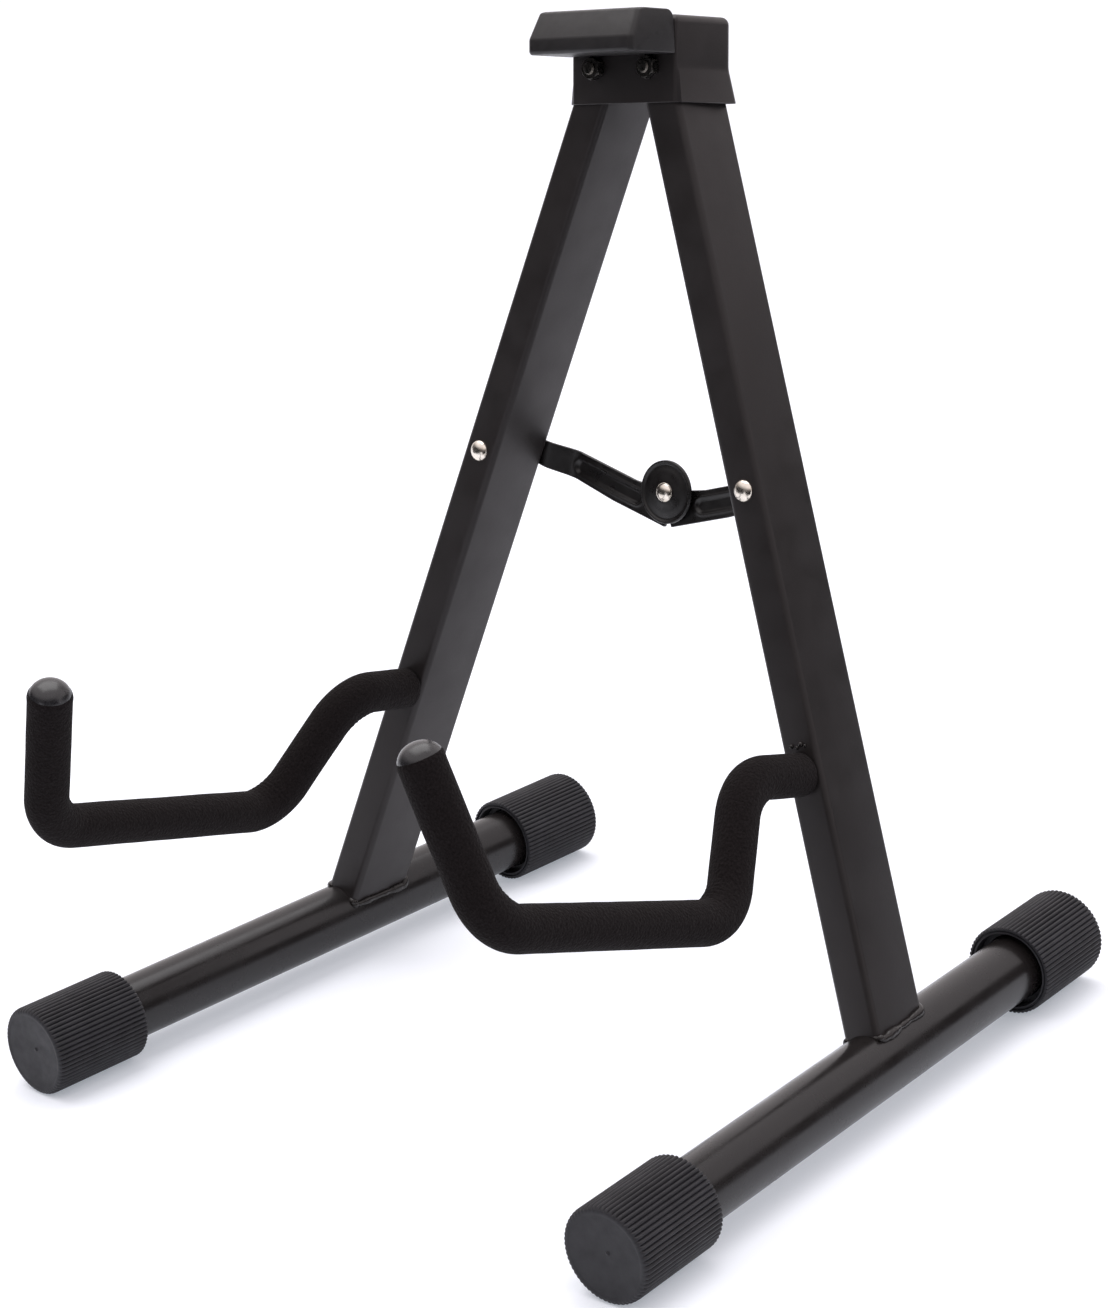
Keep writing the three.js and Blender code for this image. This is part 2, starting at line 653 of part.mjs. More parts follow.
/** The dished disc in front of the hub, its rim standing proud. */
function pivotDisc() {
  const rear = LEFT_ARM_FRONT - GAP;
  const front = rear - DISC_THICKNESS;
  return turned([
    [RIVET_HOLE_RADIUS, rear - DISC_DISH / 2],
    [RIVET_HOLE_RADIUS, front - DISC_DISH],
    [DISC_RADIUS * 0.5, front - DISC_DISH],
    [DISC_RADIUS - 1.6, front],
    [DISC_RADIUS - 0.9, front - 0.5],
    [DISC_RADIUS, front - 0.5],
    [DISC_RADIUS, rear],
    [DISC_RADIUS - 1.6, rear],
    [DISC_RADIUS * 0.5, rear - DISC_DISH / 2],
    [RIVET_HOLE_RADIUS, rear - DISC_DISH / 2],
  ], 36);
}

/** The front half of the hub's rivet, which holds the disc to the left arm. */
function hubRivetFront() {
  const front = LEFT_ARM_FRONT - GAP - DISC_THICKNESS - DISC_DISH - GAP;
  const end = LEFT_ARM_FRONT + ARM_THICKNESS;
  const headProfile = dome(front, -1, RIVET_HEAD_RADIUS * 0.9, RIVET_HEAD_HEIGHT * 0.9);
  return turned([...headProfile, [RIVET_SHANK_RADIUS, front], [RIVET_SHANK_RADIUS, end], [0, end]], 20);
}

/** The rear half of the hub's rivet, in the right arm. */
function hubRivetRear() {
  const start = RIGHT_ARM_FRONT;
  const rear = RIGHT_ARM_FRONT + ARM_THICKNESS + GAP;
  const headProfile = dome(rear, 1, RIVET_HEAD_RADIUS * 0.8, RIVET_HEAD_HEIGHT * 0.7).reverse();
  return turned([[0, start], [RIVET_SHANK_RADIUS, start], [RIVET_SHANK_RADIUS, rear], ...headProfile], 20);
}

function addBrace() {
  const hub = new THREE.Group();
  hub.position.copy(hubPoint());
  aFrame.add(hub);
  hub.add(
    named('left_brace_arm', braceArm(LEFT, LEFT_ARM_FRONT), BLACK_STEEL),
    named('right_brace_arm', braceArm(RIGHT, RIGHT_ARM_FRONT), BLACK_STEEL),
    named('brace_disc', pivotDisc(), BLACK_STEEL),
    named('hub_rivet_front', hubRivetFront(), NICKEL),
    named('hub_rivet_rear', hubRivetRear(), NICKEL),
  );
}

addHead();
addLeg(LEFT);
addLeg(RIGHT);
addBrace();

export default stand;
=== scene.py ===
# A black folding A-frame guitar stand on a pale studio floor.
# Each piece is drawn in millimetres in the frame of the part that it belongs to, rides on a body of the
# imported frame, and takes the place of the CAD nodes that it is given.

import json
import math
from collections import namedtuple

import bmesh
import bpy
from mathutils import Matrix, Vector, noise


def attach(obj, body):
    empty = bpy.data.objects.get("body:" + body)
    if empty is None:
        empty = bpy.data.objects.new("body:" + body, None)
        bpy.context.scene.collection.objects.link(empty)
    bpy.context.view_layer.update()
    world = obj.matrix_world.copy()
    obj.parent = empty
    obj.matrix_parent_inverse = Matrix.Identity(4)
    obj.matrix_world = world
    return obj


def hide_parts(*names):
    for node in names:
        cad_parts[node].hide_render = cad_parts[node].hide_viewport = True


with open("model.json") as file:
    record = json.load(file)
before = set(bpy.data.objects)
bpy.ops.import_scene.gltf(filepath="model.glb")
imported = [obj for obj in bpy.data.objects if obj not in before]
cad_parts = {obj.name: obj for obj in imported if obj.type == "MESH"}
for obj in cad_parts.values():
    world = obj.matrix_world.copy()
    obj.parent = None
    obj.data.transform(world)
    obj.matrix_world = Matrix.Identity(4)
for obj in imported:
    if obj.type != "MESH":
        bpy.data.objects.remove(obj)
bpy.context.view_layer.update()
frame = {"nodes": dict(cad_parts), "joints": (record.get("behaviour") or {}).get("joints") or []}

# ------------------------------------------------ driving dimensions, in millimetres

MM = 0.001
LEFT, RIGHT = -1, 1
SIDE_NAMES = {LEFT: "left", RIGHT: "right"}

# Stance
FOOT = (136.5, 37.35, 17.75)  # where a leg's centre line meets its floor tube's
TOE_IN = math.radians(2.9)
GAP = 0.3

# Legs
LEG_WIDTH = 16
LEG_DEPTH = 30
LEG_WALL = 1.5
LEG_CORNER = 2.4
LEG_ABOVE_PIVOT = 10
WELD_RADIUS = 1.6
WELD_STEP = 0.45  # between the rings of the bead
WELD_LUMP = 5  # typical length of one lump of the bead
WELD_LUMP_HEIGHT = 0.8
WELD_GRAIN = 1.3  # typical length of its fine unevenness
WELD_GRAIN_HEIGHT = 0.2
WELD_THINNING = 0.8  # the share of its thickness that the bead loses in front
WELD_DROP_RADIUS = 1.5

# Floor tubes and end caps
FLOOR_TUBE_RADIUS = 12.5
FLOOR_TUBE_WALL = 1.5
FRONT_REACH = 172.2  # from the leg's foot to the front cap's end
REAR_REACH = 126.8
CAP_RADIUS = 17.75
CAP_LENGTH = 43
CAP_END_THICKNESS = 3.5
CAP_RIBS = 60
POINTS_PER_RIB = 8
CAP_RIB_DEPTH = 0.95
CAP_RIM = 2.2  # the rounding between the cap's side and its end
CAP_DISH = 1.25  # how deep the middle of the cap's end lies
CAP_MOUTH_RADIUS = 14.8
CAP_MOUTH_DEPTH = 5

# Cradles
CRADLE_HEIGHT = 100.5  # above the floor tube's centre, along the A-frame's plane
CRADLE_INSET = 1.2  # from the leg's middle towards the stand's middle
CRADLE_TURN = math.radians(3.8)  # both hooks point a little to the right
CRADLE_CORNERS = [(0, 0), (37.6, 2.9), (64.4, -44.8), (190.4, -27.5), (208.4, 35.7)]  # ahead and up
CRADLE_BENDS = [22, 20, 22]  # bend radii at the inner corners
FOAM_RADIUS = 8.3
FOAM_STEP = 0.9  # between the sleeve's rings
FOAM_FILL = 0.5  # how far the sleeve fills out inside a bend
FOAM_WRINKLE = 0.3
FOAM_WRINKLE_SPACING = 3.1
TIP_HEIGHT = 7.5
FOAM_OVER_TIP = 2.6  # how far the sleeve's rounded end climbs the tip

# Head. Heights are above the housing's lower edge.
HOUSING_WIDTH = 51.5
HOUSING_DEPTH = 33.6
HOUSING_TOP = 32.5
HOUSING_FOLD = 13  # below this the two sides flare outwards
HOUSING_FOLD_SOFTNESS = 1.2
HOUSING_FLARE = 3.6
HOUSING_WALL = 1.2
HOUSING_CORNERS = (3.5, 1.7)  # rear and front
HOUSING_TOP_ROUND = 3
PIVOT_ABOVE_EDGE = 13.4
PAD_FRONT = 42.5  # from the A-frame's middle plane
PAD_BOTTOM = 17.9
PAD_STRIP_TOP = 23.7  # the upright front strip ends here and the slope starts
PAD_SLOPE_RUN = 5.2
PAD_TAPER = 0.9  # how far each side leans in towards the top
PAD_FACET = 1.8  # width of the facet between the slope and each side
PAD_REAR_ROUND = 3.5
PAD_TOP = 34.2
PAD_EDGE = 1.3

# Fasteners
BOLT_RADIUS = 2.5
THREAD_PITCH = 0.8
HEX_ACROSS_FLATS = 8
NUT_LENGTH = 3.5
BOLT_END = 1.2  # how far the bolt stands proud of its nut
BOLT_HEAD_LENGTH = 3.5
RIVET_HEAD_RADIUS = 4.2
RIVET_HEAD_HEIGHT = 2
RIVET_SHANK_RADIUS = 2.4

# Brace
ARM_LENGTH = 67.3
ARM_THICKNESS = 1.5
ARM_LEG_END_RADIUS = 5
ARM_HUB_RADIUS = 9
ARM_EAR_DEPTH = 14.3
ARM_WAIST = (27, -11.3)  # distance from the hub and height of the lower edge's slight bow
ARM_NECK = (17, -0.1)  # where the upper edge meets the hub's round lobe
ARM_JOGGLE_START = 6  # the joggle brings the arm back to the leg, between these distances from the rivet
ARM_JOGGLE_END = 21
ARM_RIB = (15, 45)  # the pressed rib's two ends, from the hub
ARM_RIB_RADIUS = 3.1
ARM_RIB_DEPTH = 0.75
LEFT_ARM_FRONT = 22.4  # the two arms' front faces, behind the A-frame's middle plane
RIGHT_ARM_FRONT = LEFT_ARM_FRONT + ARM_THICKNESS + GAP
ARM_LEG_END_FRONT = LEG_DEPTH / 2 + 0.6
ARM_STEP = 0.5  # between the arm's rings
DISC_RADIUS = 12.5
DISC_REAR = LEFT_ARM_FRONT - GAP
DISC_THICKNESS = 0.9
DISC_DISH = 0.9

# Studio. Lengths here are in metres.
DARK_SIDE = 0.12  # the sky's strength low in front
BRIGHT_SIDE = 1.15  # and behind and above
SKY_COLOUR = (1.04, 0.975, 0.985, 1)
FLOOR_HALF_SIZE = 30
TOP_LIGHT_PLACE = (-0.4, 0.2, 2.2)
TOP_LIGHT_SIZE = (2.4, 2.0)
TOP_LIGHT_WATTS = 30
CAMERA_PLACE = (0.80435, -0.8423, 0.54886)
CAMERA_AZIMUTH = math.radians(42.711)
CAMERA_ELEVATION = math.radians(16.021)
CAMERA_ROLL = math.radians(-4.829)
CAMERA_LENS = 90.36  # on a sensor 36 mm wide
CAMERA_SHIFT = -0.1056


# ------------------------------------------------ frames: each maps millimetres to the scene

JOINTS = {joint["name"]: joint for joint in frame["joints"]}
REARWARD = Vector(JOINTS["right_leg_fold"]["axis"])  # square to the A-frame's plane
ACROSS = Vector((1, 0, 0))
UPWARD = ACROSS.cross(REARWARD)  # along the A-frame's plane


def frame_matrix(origin, x_axis, y_axis, z_axis):
    """Maps millimetres along the three axes to the scene. The origin is in metres."""
    matrix = Matrix((x_axis, y_axis, z_axis)).transposed().to_4x4() @ Matrix.Scale(MM, 4)
    matrix.translation = origin
    return matrix


def joint_point(name):
    return Vector(JOINTS[name]["pos_m"])


def foot_point(side):
    return Vector((side * FOOT[0], FOOT[1], FOOT[2])) * MM


def leg_frame(side):
    """Origin at the leg's pivot, Z up along the leg."""
    pivot = joint_point(f"{SIDE_NAMES[side]}_leg_fold")
    along = (pivot - foot_point(side)).normalized()
    return frame_matrix(pivot, REARWARD.cross(along), REARWARD, along)


def leg_length(side):
    return (joint_point(f"{SIDE_NAMES[side]}_leg_fold") - foot_point(side)).length / MM


def leg_height(side, height):
    """The leg frame's Z at a height above the floor tube's centre, along the A-frame's plane."""
    rise = (joint_point(f"{SIDE_NAMES[side]}_leg_fold") - foot_point(side)).dot(UPWARD) / MM
    return -(rise - height) * leg_length(side) / rise


def rivet_height(side):
    rivet = joint_point(f"{SIDE_NAMES[side]}_arm_fold")
    return (leg_frame(side).inverted() @ rivet).z


def floor_tube_frame(side):
    """Origin at the leg's foot, Y along the tube to the rear."""
    turn = Matrix.Rotation(side * TOE_IN, 3, "Z")
    return frame_matrix(foot_point(side), turn.col[0], turn.col[1], turn.col[2])


def head_frame():
    """Origin midway between the pivots, X from the left one to the right one."""
    left = joint_point("left_leg_fold")
    right = joint_point("right_leg_fold")
    across = (right - left).normalized()
    return frame_matrix((left + right) / 2, across, REARWARD, across.cross(REARWARD))


def arm_frame(side):
    """Origin at the hub in the A-frame's middle plane, X towards the leg's rivet, Z across the arm."""
    ends = [joint_point(f"{SIDE_NAMES[s]}_arm_fold") for s in (side, -side)]
    ends = [end - REARWARD * (end - joint_point("left_leg_fold")).dot(REARWARD) for end in ends]
    half_span = (ends[0] - ends[1]).length / 2
    drop = math.sqrt((ARM_LENGTH * MM) ** 2 - half_span ** 2)
    hub = (ends[0] + ends[1]) / 2 - UPWARD * drop
    along = (ends[0] - hub).normalized()
    up = along.cross(REARWARD) * side
    return frame_matrix(hub, along, REARWARD, up)


# ------------------------------------------------ mesh helpers


def loft(rings, ends="closed"):
    """A mesh through rings of points. Its ends are closed, or joined to each other."""
    bm = bmesh.new()
    rows = [[bm.verts.new(point) for point in ring] for ring in rings]
    pairs = list(zip(rows, rows[1:]))
    if ends == "joined":
        pairs.append((rows[-1], rows[0]))
    for low, high in pairs:
        for k in range(len(low)):
            after = (k + 1) % len(low)
            bm.faces.new((low[k], low[after], high[after], high[k]))
    if ends == "closed":
        bm.faces.new(reversed(rows[0]))
        bm.faces.new(rows[-1])
    bmesh.ops.recalc_face_normals(bm, faces=bm.faces)
    mesh = bpy.data.meshes.new("piece")
    bm.to_mesh(mesh)
    bm.free()
    return mesh


def circle_angles(count):
    return [2 * math.pi * k / count for k in range(count)]


def turned(profile, count, ends="closed"):
    """A mesh turned about the Y axis from (radius, y) points."""
    angles = circle_angles(count)
    rings = [[(radius * math.sin(a), y, radius * math.cos(a)) for a in angles] for radius, y in profile]
    return loft(rings, ends)


def arc(centre, radius, start, end, steps):
    """Points on an arc, with angles in degrees."""
    angles = [math.radians(start + (end - start) * k / steps) for k in range(steps + 1)]
    return [(centre[0] + radius * math.cos(a), centre[1] + radius * math.sin(a)) for a in angles]


def rounded_rectangle(width, depth, corners, steps=6):
    """Points round a rectangle, from its rear right corner on. corners: rear and front radius."""
    rear, front = corners
    x, y = width / 2, depth / 2
    return (
        arc((x - rear, y - rear), rear, 0, 90, steps)
        + arc((-x + rear, y - rear), rear, 90, 180, steps)
        + arc((-x + front, -y + front), front, 180, 270, steps)
        + arc((x - front, -y + front), front, 270, 360, steps)
    )


def smoothstep(value, start, end):
    """0 up to start, 1 from end on, and a smooth rise between them."""
    t = min(max((value - start) / (end - start), 0), 1)
    return t * t * (3 - 2 * t)


def rounded_line(corners, radii, step):
    """Points and tangents along a flat line whose corners are rounded by arcs, and each one's bend."""
    points = []
    here = Vector(corners[0])

    def straight_to(target):
        count = max(1, round((target - here).length / step))
        direction = (target - here).normalized()
        for k in range(count):
            points.append((here.lerp(target, k / count), direction, 0))

    for before, corner, after, radius in zip(corners, corners[1:], corners[2:], radii):
        corner = Vector(corner)
        arriving = (corner - Vector(before)).normalized()
        leaving = (Vector(after) - corner).normalized()
        turn = -arriving.angle_signed(leaving)
        reach = radius * math.tan(abs(turn) / 2)
        straight_to(corner - arriving * reach)
        start = corner - arriving * reach
        side = math.copysign(1, turn)
        centre = start + Vector((-arriving.y, arriving.x)) * side * radius
        count = max(4, round(radius * abs(turn) / step))
        for k in range(count):
            turned_by = turn * k / count
            spoke = start - centre
            spoke.rotate(Matrix.Rotation(turned_by, 2))
            direction = arriving.copy()
            direction.rotate(Matrix.Rotation(turned_by, 2))
            bend = side * math.sin(math.pi * k / count)
            points.append((centre + spoke, direction, bend))
        here = corner + leaving * reach
    straight_to(Vector(corners[-1]))
    points.append((Vector(corners[-1]), (Vector(corners[-1]) - here).normalized(), 0))
    return points


def add_piece(name, mesh, matrix, body, slot, finish, stands_for=(), bevel=0, smooth=35):
    """Puts a mesh made in millimetres into the scene as a piece that rides on a body.

    bevel rounds its edges by that many millimetres. Edges flatter than smooth, in degrees, are shaded
    as one surface."""
    mesh.transform(matrix)
    if matrix.determinant() < 0:
        mesh.flip_normals()
    piece = bpy.data.objects.new(name, mesh)
    bpy.context.scene.collection.objects.link(piece)
    if bevel:
        edges = piece.modifiers.new("edges", "BEVEL")
        edges.width = bevel * MM
        edges.segments = 4
        edges.limit_method = "ANGLE"
        edges.angle_limit = math.radians(20)
        bpy.context.view_layer.update()
        seen = piece.evaluated_get(bpy.context.evaluated_depsgraph_get())
        piece.data = bpy.data.meshes.new_from_object(seen)
        piece.modifiers.clear()
    piece.data.name = name
    piece.data.shade_smooth()
    piece.data.set_sharp_from_angle(angle=math.radians(smooth))
    piece.data.materials.clear()
    piece.data.materials.append(FINISHES[finish])
    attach(piece, body)
    if stands_for:
        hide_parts(*stands_for)
    return piece


# ------------------------------------------------ finishes


class Finish:
    """A procedural material. Its patterns are laid out in each piece's own space."""

    def __init__(self, name, colour, roughness, metallic=0.0, **settings):
        self.material = bpy.data.materials.new(name)
        self.material.use_nodes = True
        self.nodes = self.material.node_tree.nodes
        self.links = self.material.node_tree.links
        self.shader = self.nodes["Principled BSDF"]
        self.place = self.nodes.new("ShaderNodeTexCoord").outputs["Object"]
        self.bump_normal = None
        self.shader.inputs["Base Color"].default_value = (*colour, 1)
        self.shader.inputs["Roughness"].default_value = roughness
        self.shader.inputs["Metallic"].default_value = metallic
        for socket, value in settings.items():
            self.shader.inputs[socket.replace("_", " ")].default_value = value

    def noise(self, size, detail=3.0, contrast=0.5, stretch=None):
        """Noise from 0 to 1 whose features are about this many millimetres across."""
        texture = self.nodes.new("ShaderNodeTexNoise")
        texture.inputs["Scale"].default_value = 1 / (size * MM)
        texture.inputs["Detail"].default_value = detail
        texture.inputs["Roughness"].default_value = contrast
        place = self.place
        if stretch:
            mapping = self.nodes.new("ShaderNodeMapping")
            mapping.inputs["Scale"].default_value = stretch
            self.links.new(place, mapping.inputs["Vector"])
            place = mapping.outputs["Vector"]
        self.links.new(place, texture.inputs["Vector"])
        return texture.outputs["Fac"]

    def cells(self, size):
        """Distance to the nearest cell's middle, from 0 to about 1."""
        texture = self.nodes.new("ShaderNodeTexVoronoi")
        texture.inputs["Scale"].default_value = 1 / (size * MM)
        self.links.new(self.place, texture.inputs["Vector"])
        return texture.outputs["Distance"]

    def remap(self, value, low, high, start=0.3, end=0.7):
        """Low where the value is at start, high where it is at end."""
        remap = self.nodes.new("ShaderNodeMapRange")
        remap.inputs["From Min"].default_value = start
        remap.inputs["From Max"].default_value = end
        remap.inputs["To Min"].default_value = low
        remap.inputs["To Max"].default_value = high
        self.links.new(value, remap.inputs["Value"])
        return remap.outputs["Result"]

    def colour_between(self, value, low, high):
        """A colour that runs from low to high with the middle of a pattern from 0 to 1."""
        ramp = self.nodes.new("ShaderNodeValToRGB")
        ramp.color_ramp.elements[0].position = 0.3
        ramp.color_ramp.elements[0].color = (*low, 1)
        ramp.color_ramp.elements[1].position = 0.7
        ramp.color_ramp.elements[1].color = (*high, 1)
        self.links.new(value, ramp.inputs["Fac"])
        return ramp.outputs["Color"]

    def worn_and_glinting_edges(self, colour, edge_colour, start, end):
        """Mixes in a colour where the surface is sharply convex, for rubbed wear and painted glints."""
        geometry = self.nodes.new("ShaderNodeNewGeometry")
        mix = self.nodes.new("ShaderNodeMix")
        mix.data_type = "RGBA"
        amount = self.remap(geometry.outputs["Pointiness"], 0, 1, start, end)
        self.links.new(amount, mix.inputs["Factor"])
        self.links.new(colour, mix.inputs["A"])
        mix.inputs["B"].default_value = (*edge_colour, 1)
        return mix.outputs["Result"]

    def set(self, socket, value):
        self.links.new(value, self.shader.inputs[socket])

    def mottle(self, size, low, high, **pattern):
        """Lets the colour drift between two tones, in patches of about this size."""
        self.set("Base Color", self.colour_between(self.noise(size, **pattern), low, high))

    def uneven_gloss(self, size, low, high):
        """Lets the roughness drift between two values, in patches of about this size."""
        self.set("Roughness", self.remap(self.noise(size), low, high))

    def bump(self, height, depth):
        """Adds relief of about this depth in millimetres."""
        bump = self.nodes.new("ShaderNodeBump")
        bump.inputs["Distance"].default_value = depth * MM
        bump.inputs["Strength"].default_value = 1
        self.links.new(height, bump.inputs["Height"])
        if self.bump_normal:
            self.links.new(self.bump_normal, bump.inputs["Normal"])
        self.bump_normal = bump.outputs["Normal"]
        self.links.new(self.bump_normal, self.shader.inputs["Normal"])


def painted_steel(name, roughness, peel, tint):
    """Black powder coat with a faint orange peel of a depth. tint: the colour of its shine."""
    finish = Finish(name, (0.0105, 0.009, 0.009), roughness, Specular_IOR_Level=0.36)
    finish.shader.inputs["Specular Tint"].default_value = (*tint, 1)
    finish.mottle(60, (0.009, 0.0076, 0.0076), (0.0125, 0.0107, 0.0105))
    finish.uneven_gloss(14, roughness - 0.05, roughness + 0.06)
    finish.bump(finish.noise(1.1, detail=2), peel)
    finish.bump(finish.noise(0.25, detail=1), peel * 0.12)
    return finish.material


def stamped_enamel():
    """Thin glossy black enamel on pressed sheet steel."""
    finish = Finish("stamped_enamel", (0.006, 0.0055, 0.0055), 0.3, Specular_IOR_Level=0.42)
    finish.mottle(20, (0.005, 0.0045, 0.0045), (0.009, 0.008, 0.008))
    finish.uneven_gloss(5, 0.24, 0.38)
    finish.bump(finish.noise(0.9), 0.012)
    return finish.material


def blackened_steel():
    """Dark oxide on small fasteners, with painted glints on the sharpest edges, which are also rubbed bright.
    """
    finish = Finish("blackened_steel", (0.03, 0.029, 0.028), 0.32, 0.85)
    tone = finish.colour_between(finish.noise(1.5), (0.02, 0.019, 0.018), (0.05, 0.047, 0.044))
    # The pale edge colour is partly rubbed wear and partly painted glints, a highlight painted into the
    # colour.
    finish.set("Base Color", finish.worn_and_glinting_edges(tone, (0.5, 0.45, 0.39), 0.55, 0.66))
    finish.uneven_gloss(1.5, 0.2, 0.36)
    finish.bump(finish.noise(0.4), 0.015)
    return finish.material


def nickel_plate():
    """Polished warm nickel with fine scuffs."""
    finish = Finish("nickel_plate", (0.74, 0.68, 0.6), 0.16, 1.0)
    finish.mottle(2.5, (0.66, 0.6, 0.52), (0.8, 0.75, 0.68))
    finish.uneven_gloss(1.2, 0.12, 0.26)
    finish.bump(finish.noise(0.5, stretch=(1, 1, 5)), 0.008)
    return finish.material


def foam_rubber():
    """Black closed-cell foam: soft unevenness, cells, fine pits and a faint dusty sheen."""
    finish = Finish("foam_rubber", (0.008, 0.006, 0.006), 0.95, Sheen_Weight=0.02, Specular_IOR_Level=0.08)
    finish.mottle(0.7, (0.003, 0.002, 0.002), (0.013, 0.0105, 0.011), detail=4, contrast=0.75)
    finish.bump(finish.noise(6, detail=2), 0.35)
    finish.bump(finish.cells(1.1), 0.35)
    finish.bump(finish.noise(0.5, detail=3), 0.2)
    return finish.material


def ribbed_rubber():
    """Charcoal moulded rubber, a little paler in places."""
    finish = Finish("ribbed_rubber", (0.02, 0.02, 0.023), 0.55, Specular_IOR_Level=0.32)
    finish.mottle(9, (0.0145, 0.0142, 0.017), (0.0215, 0.021, 0.025))
    finish.uneven_gloss(4, 0.5, 0.62)
    finish.bump(finish.noise(0.5, detail=3), 0.03)
    return finish.material


def smooth_rubber():
    """Dark grey dipped rubber with a soft gloss."""
    finish = Finish("smooth_rubber", (0.012, 0.0115, 0.013), 0.28, Specular_IOR_Level=0.6)
    finish.mottle(5, (0.0095, 0.009, 0.0105), (0.015, 0.0145, 0.0165))
    finish.uneven_gloss(2, 0.22, 0.34)
    finish.bump(finish.noise(0.4, detail=2), 0.02)
    return finish.material


def moulded_pad():
    """Matte black moulded plastic with a fine even grain."""
    finish = Finish("moulded_pad", (0.011, 0.01, 0.011), 0.48, Specular_IOR_Level=0.36)
    finish.mottle(12, (0.0085, 0.0075, 0.008), (0.012, 0.011, 0.0118))
    finish.uneven_gloss(3, 0.38, 0.5)
    finish.bump(finish.noise(0.35, detail=2), 0.03)
    return finish.material


def black_card():
    finish = Finish("black_card", (0.01, 0.01, 0.01), 0.9)
    finish.mottle(50, (0.009, 0.009, 0.009), (0.012, 0.012, 0.012))
    return finish.material


def studio_white():
    """A pale floor that glows a little, so that shadows on it stay soft."""
    finish = Finish("studio_white", (0.69, 0.705, 0.74), 0.75, Emission_Strength=0.3)
    finish.shader.inputs["Emission Color"].default_value = (0.92, 0.99, 1.09, 1)
    finish.mottle(400, (0.685, 0.7, 0.735), (0.695, 0.71, 0.745))
    return finish.material


FINISHES = {
    "satin": painted_steel("satin_powder_coat", 0.4, 0.02, (1, 0.95, 0.97)),
    "gloss": painted_steel("gloss_powder_coat", 0.25, 0.012, (0.96, 0.97, 1)),
    "weld": painted_steel("coated_weld", 0.22, 0.03, (1, 0.98, 0.98)),
    "enamel": stamped_enamel(),
    "black_steel": blackened_steel(),
    "nickel": nickel_plate(),
    "foam": foam_rubber(),
    "cap": ribbed_rubber(),
    "tip": smooth_rubber(),
    "pad": moulded_pad(),
    "studio": studio_white(),
    "card": black_card(),
}


# ------------------------------------------------ legs


def landing_z(x, y, leg, side, radius):
    """The leg frame's Z at which a line along the leg, through (x, y), first meets the floor tube."""
    to_tube = floor_tube_frame(side).inverted() @ leg
    start = to_tube @ Vector((x, y, 0))
    step = to_tube.to_3x3() @ Vector((0, 0, 1))
    a = step.x ** 2 + step.z ** 2
    b = start.x * step.x + start.z * step.z
    c = start.x ** 2 + start.z ** 2 - radius ** 2
    return (-b + math.sqrt(max(b * b - a * c, 0))) / a


def leg_tube(side):
    """The rectangular tube, its foot cut to fit round the floor tube."""
    name = SIDE_NAMES[side]
    leg = leg_frame(side)
    bore_corner = LEG_CORNER - LEG_WALL
    outer = rounded_rectangle(LEG_WIDTH, LEG_DEPTH, (LEG_CORNER, LEG_CORNER))
    inner = rounded_rectangle(LEG_WIDTH - 2 * LEG_WALL, LEG_DEPTH - 2 * LEG_WALL, (bore_corner, bore_corner))
    resting = FLOOR_TUBE_RADIUS + GAP

    def foot_ring(section):
        return [(x, y, landing_z(x, y, leg, side, resting)) for x, y in section]

    def ring_at(section, z):
        return [(x, y, z) for x, y in section]

    rings = [foot_ring(outer), ring_at(outer, LEG_ABOVE_PIVOT)]
    rings += [ring_at(inner, LEG_ABOVE_PIVOT), foot_ring(inner)]
    mesh = loft(rings, "joined")
    add_piece(f"{name}_leg", mesh, leg, f"{name}_leg", "powder_coat", "satin", [f"{name}_leg_tube"])


def bead(line, radius_at, count):
    """A closed lumpy bead along (point, outward) pairs."""
    rings = []
    for k, (point, outward) in enumerate(line):
        ahead = (line[(k + 1) % len(line)][0] - line[k - 1][0]).normalized()
        out = (outward - ahead * outward.dot(ahead)).normalized()
        across = ahead.cross(out)
        radius = radius_at(point)
        spokes = [out * math.cos(a) + across * math.sin(a) for a in circle_angles(count)]
        rings.append([point + spoke * radius for spoke in spokes])
    return loft(rings, "joined")


def foot_line(side, section):
    """(point, outward) pairs round a section, where it lands on the floor tube."""
    leg = leg_frame(side)
    line = []
    for (x0, y0), (x1, y1) in zip(section, section[1:] + section[:1]):
        count = max(1, round(math.hypot(x1 - x0, y1 - y0) / WELD_STEP))
        for k in range(count):
            x = x0 + (x1 - x0) * k / count
            y = y0 + (y1 - y0) * k / count
            z = landing_z(x, y, leg, side, FLOOR_TUBE_RADIUS + 0.1)
            line.append((Vector((x, y, z)), Vector((x, y, 0)).normalized()))
    return line


def foot_weld(side):
    """The lumpy weld along both sides of the leg's foot, drawn in to almost nothing at its front."""
    name = SIDE_NAMES[side]
    line = foot_line(side, rounded_rectangle(LEG_WIDTH + 0.6, LEG_DEPTH - 1, (2.8, 2.8), 5))

    def radius_at(point):
        from_side = LEG_WIDTH / 2 - abs(point.x)
        in_front = smoothstep(from_side, 1.2, 3.5) if point.y < 0 else 0
        lump = noise.noise(point / WELD_LUMP + Vector((7 * side, 0, 0)))
        grain = noise.noise(point / WELD_GRAIN + Vector((3 * side, 5, 0)))
        radius = WELD_RADIUS + WELD_LUMP_HEIGHT * lump + WELD_GRAIN_HEIGHT * grain
        return radius * (1 - WELD_THINNING * in_front)

    mesh = bead(line, radius_at, 14)
    add_piece(f"{name}_foot_weld", mesh, leg_frame(side), f"{name}_leg", "powder_coat", "weld", smooth=70)


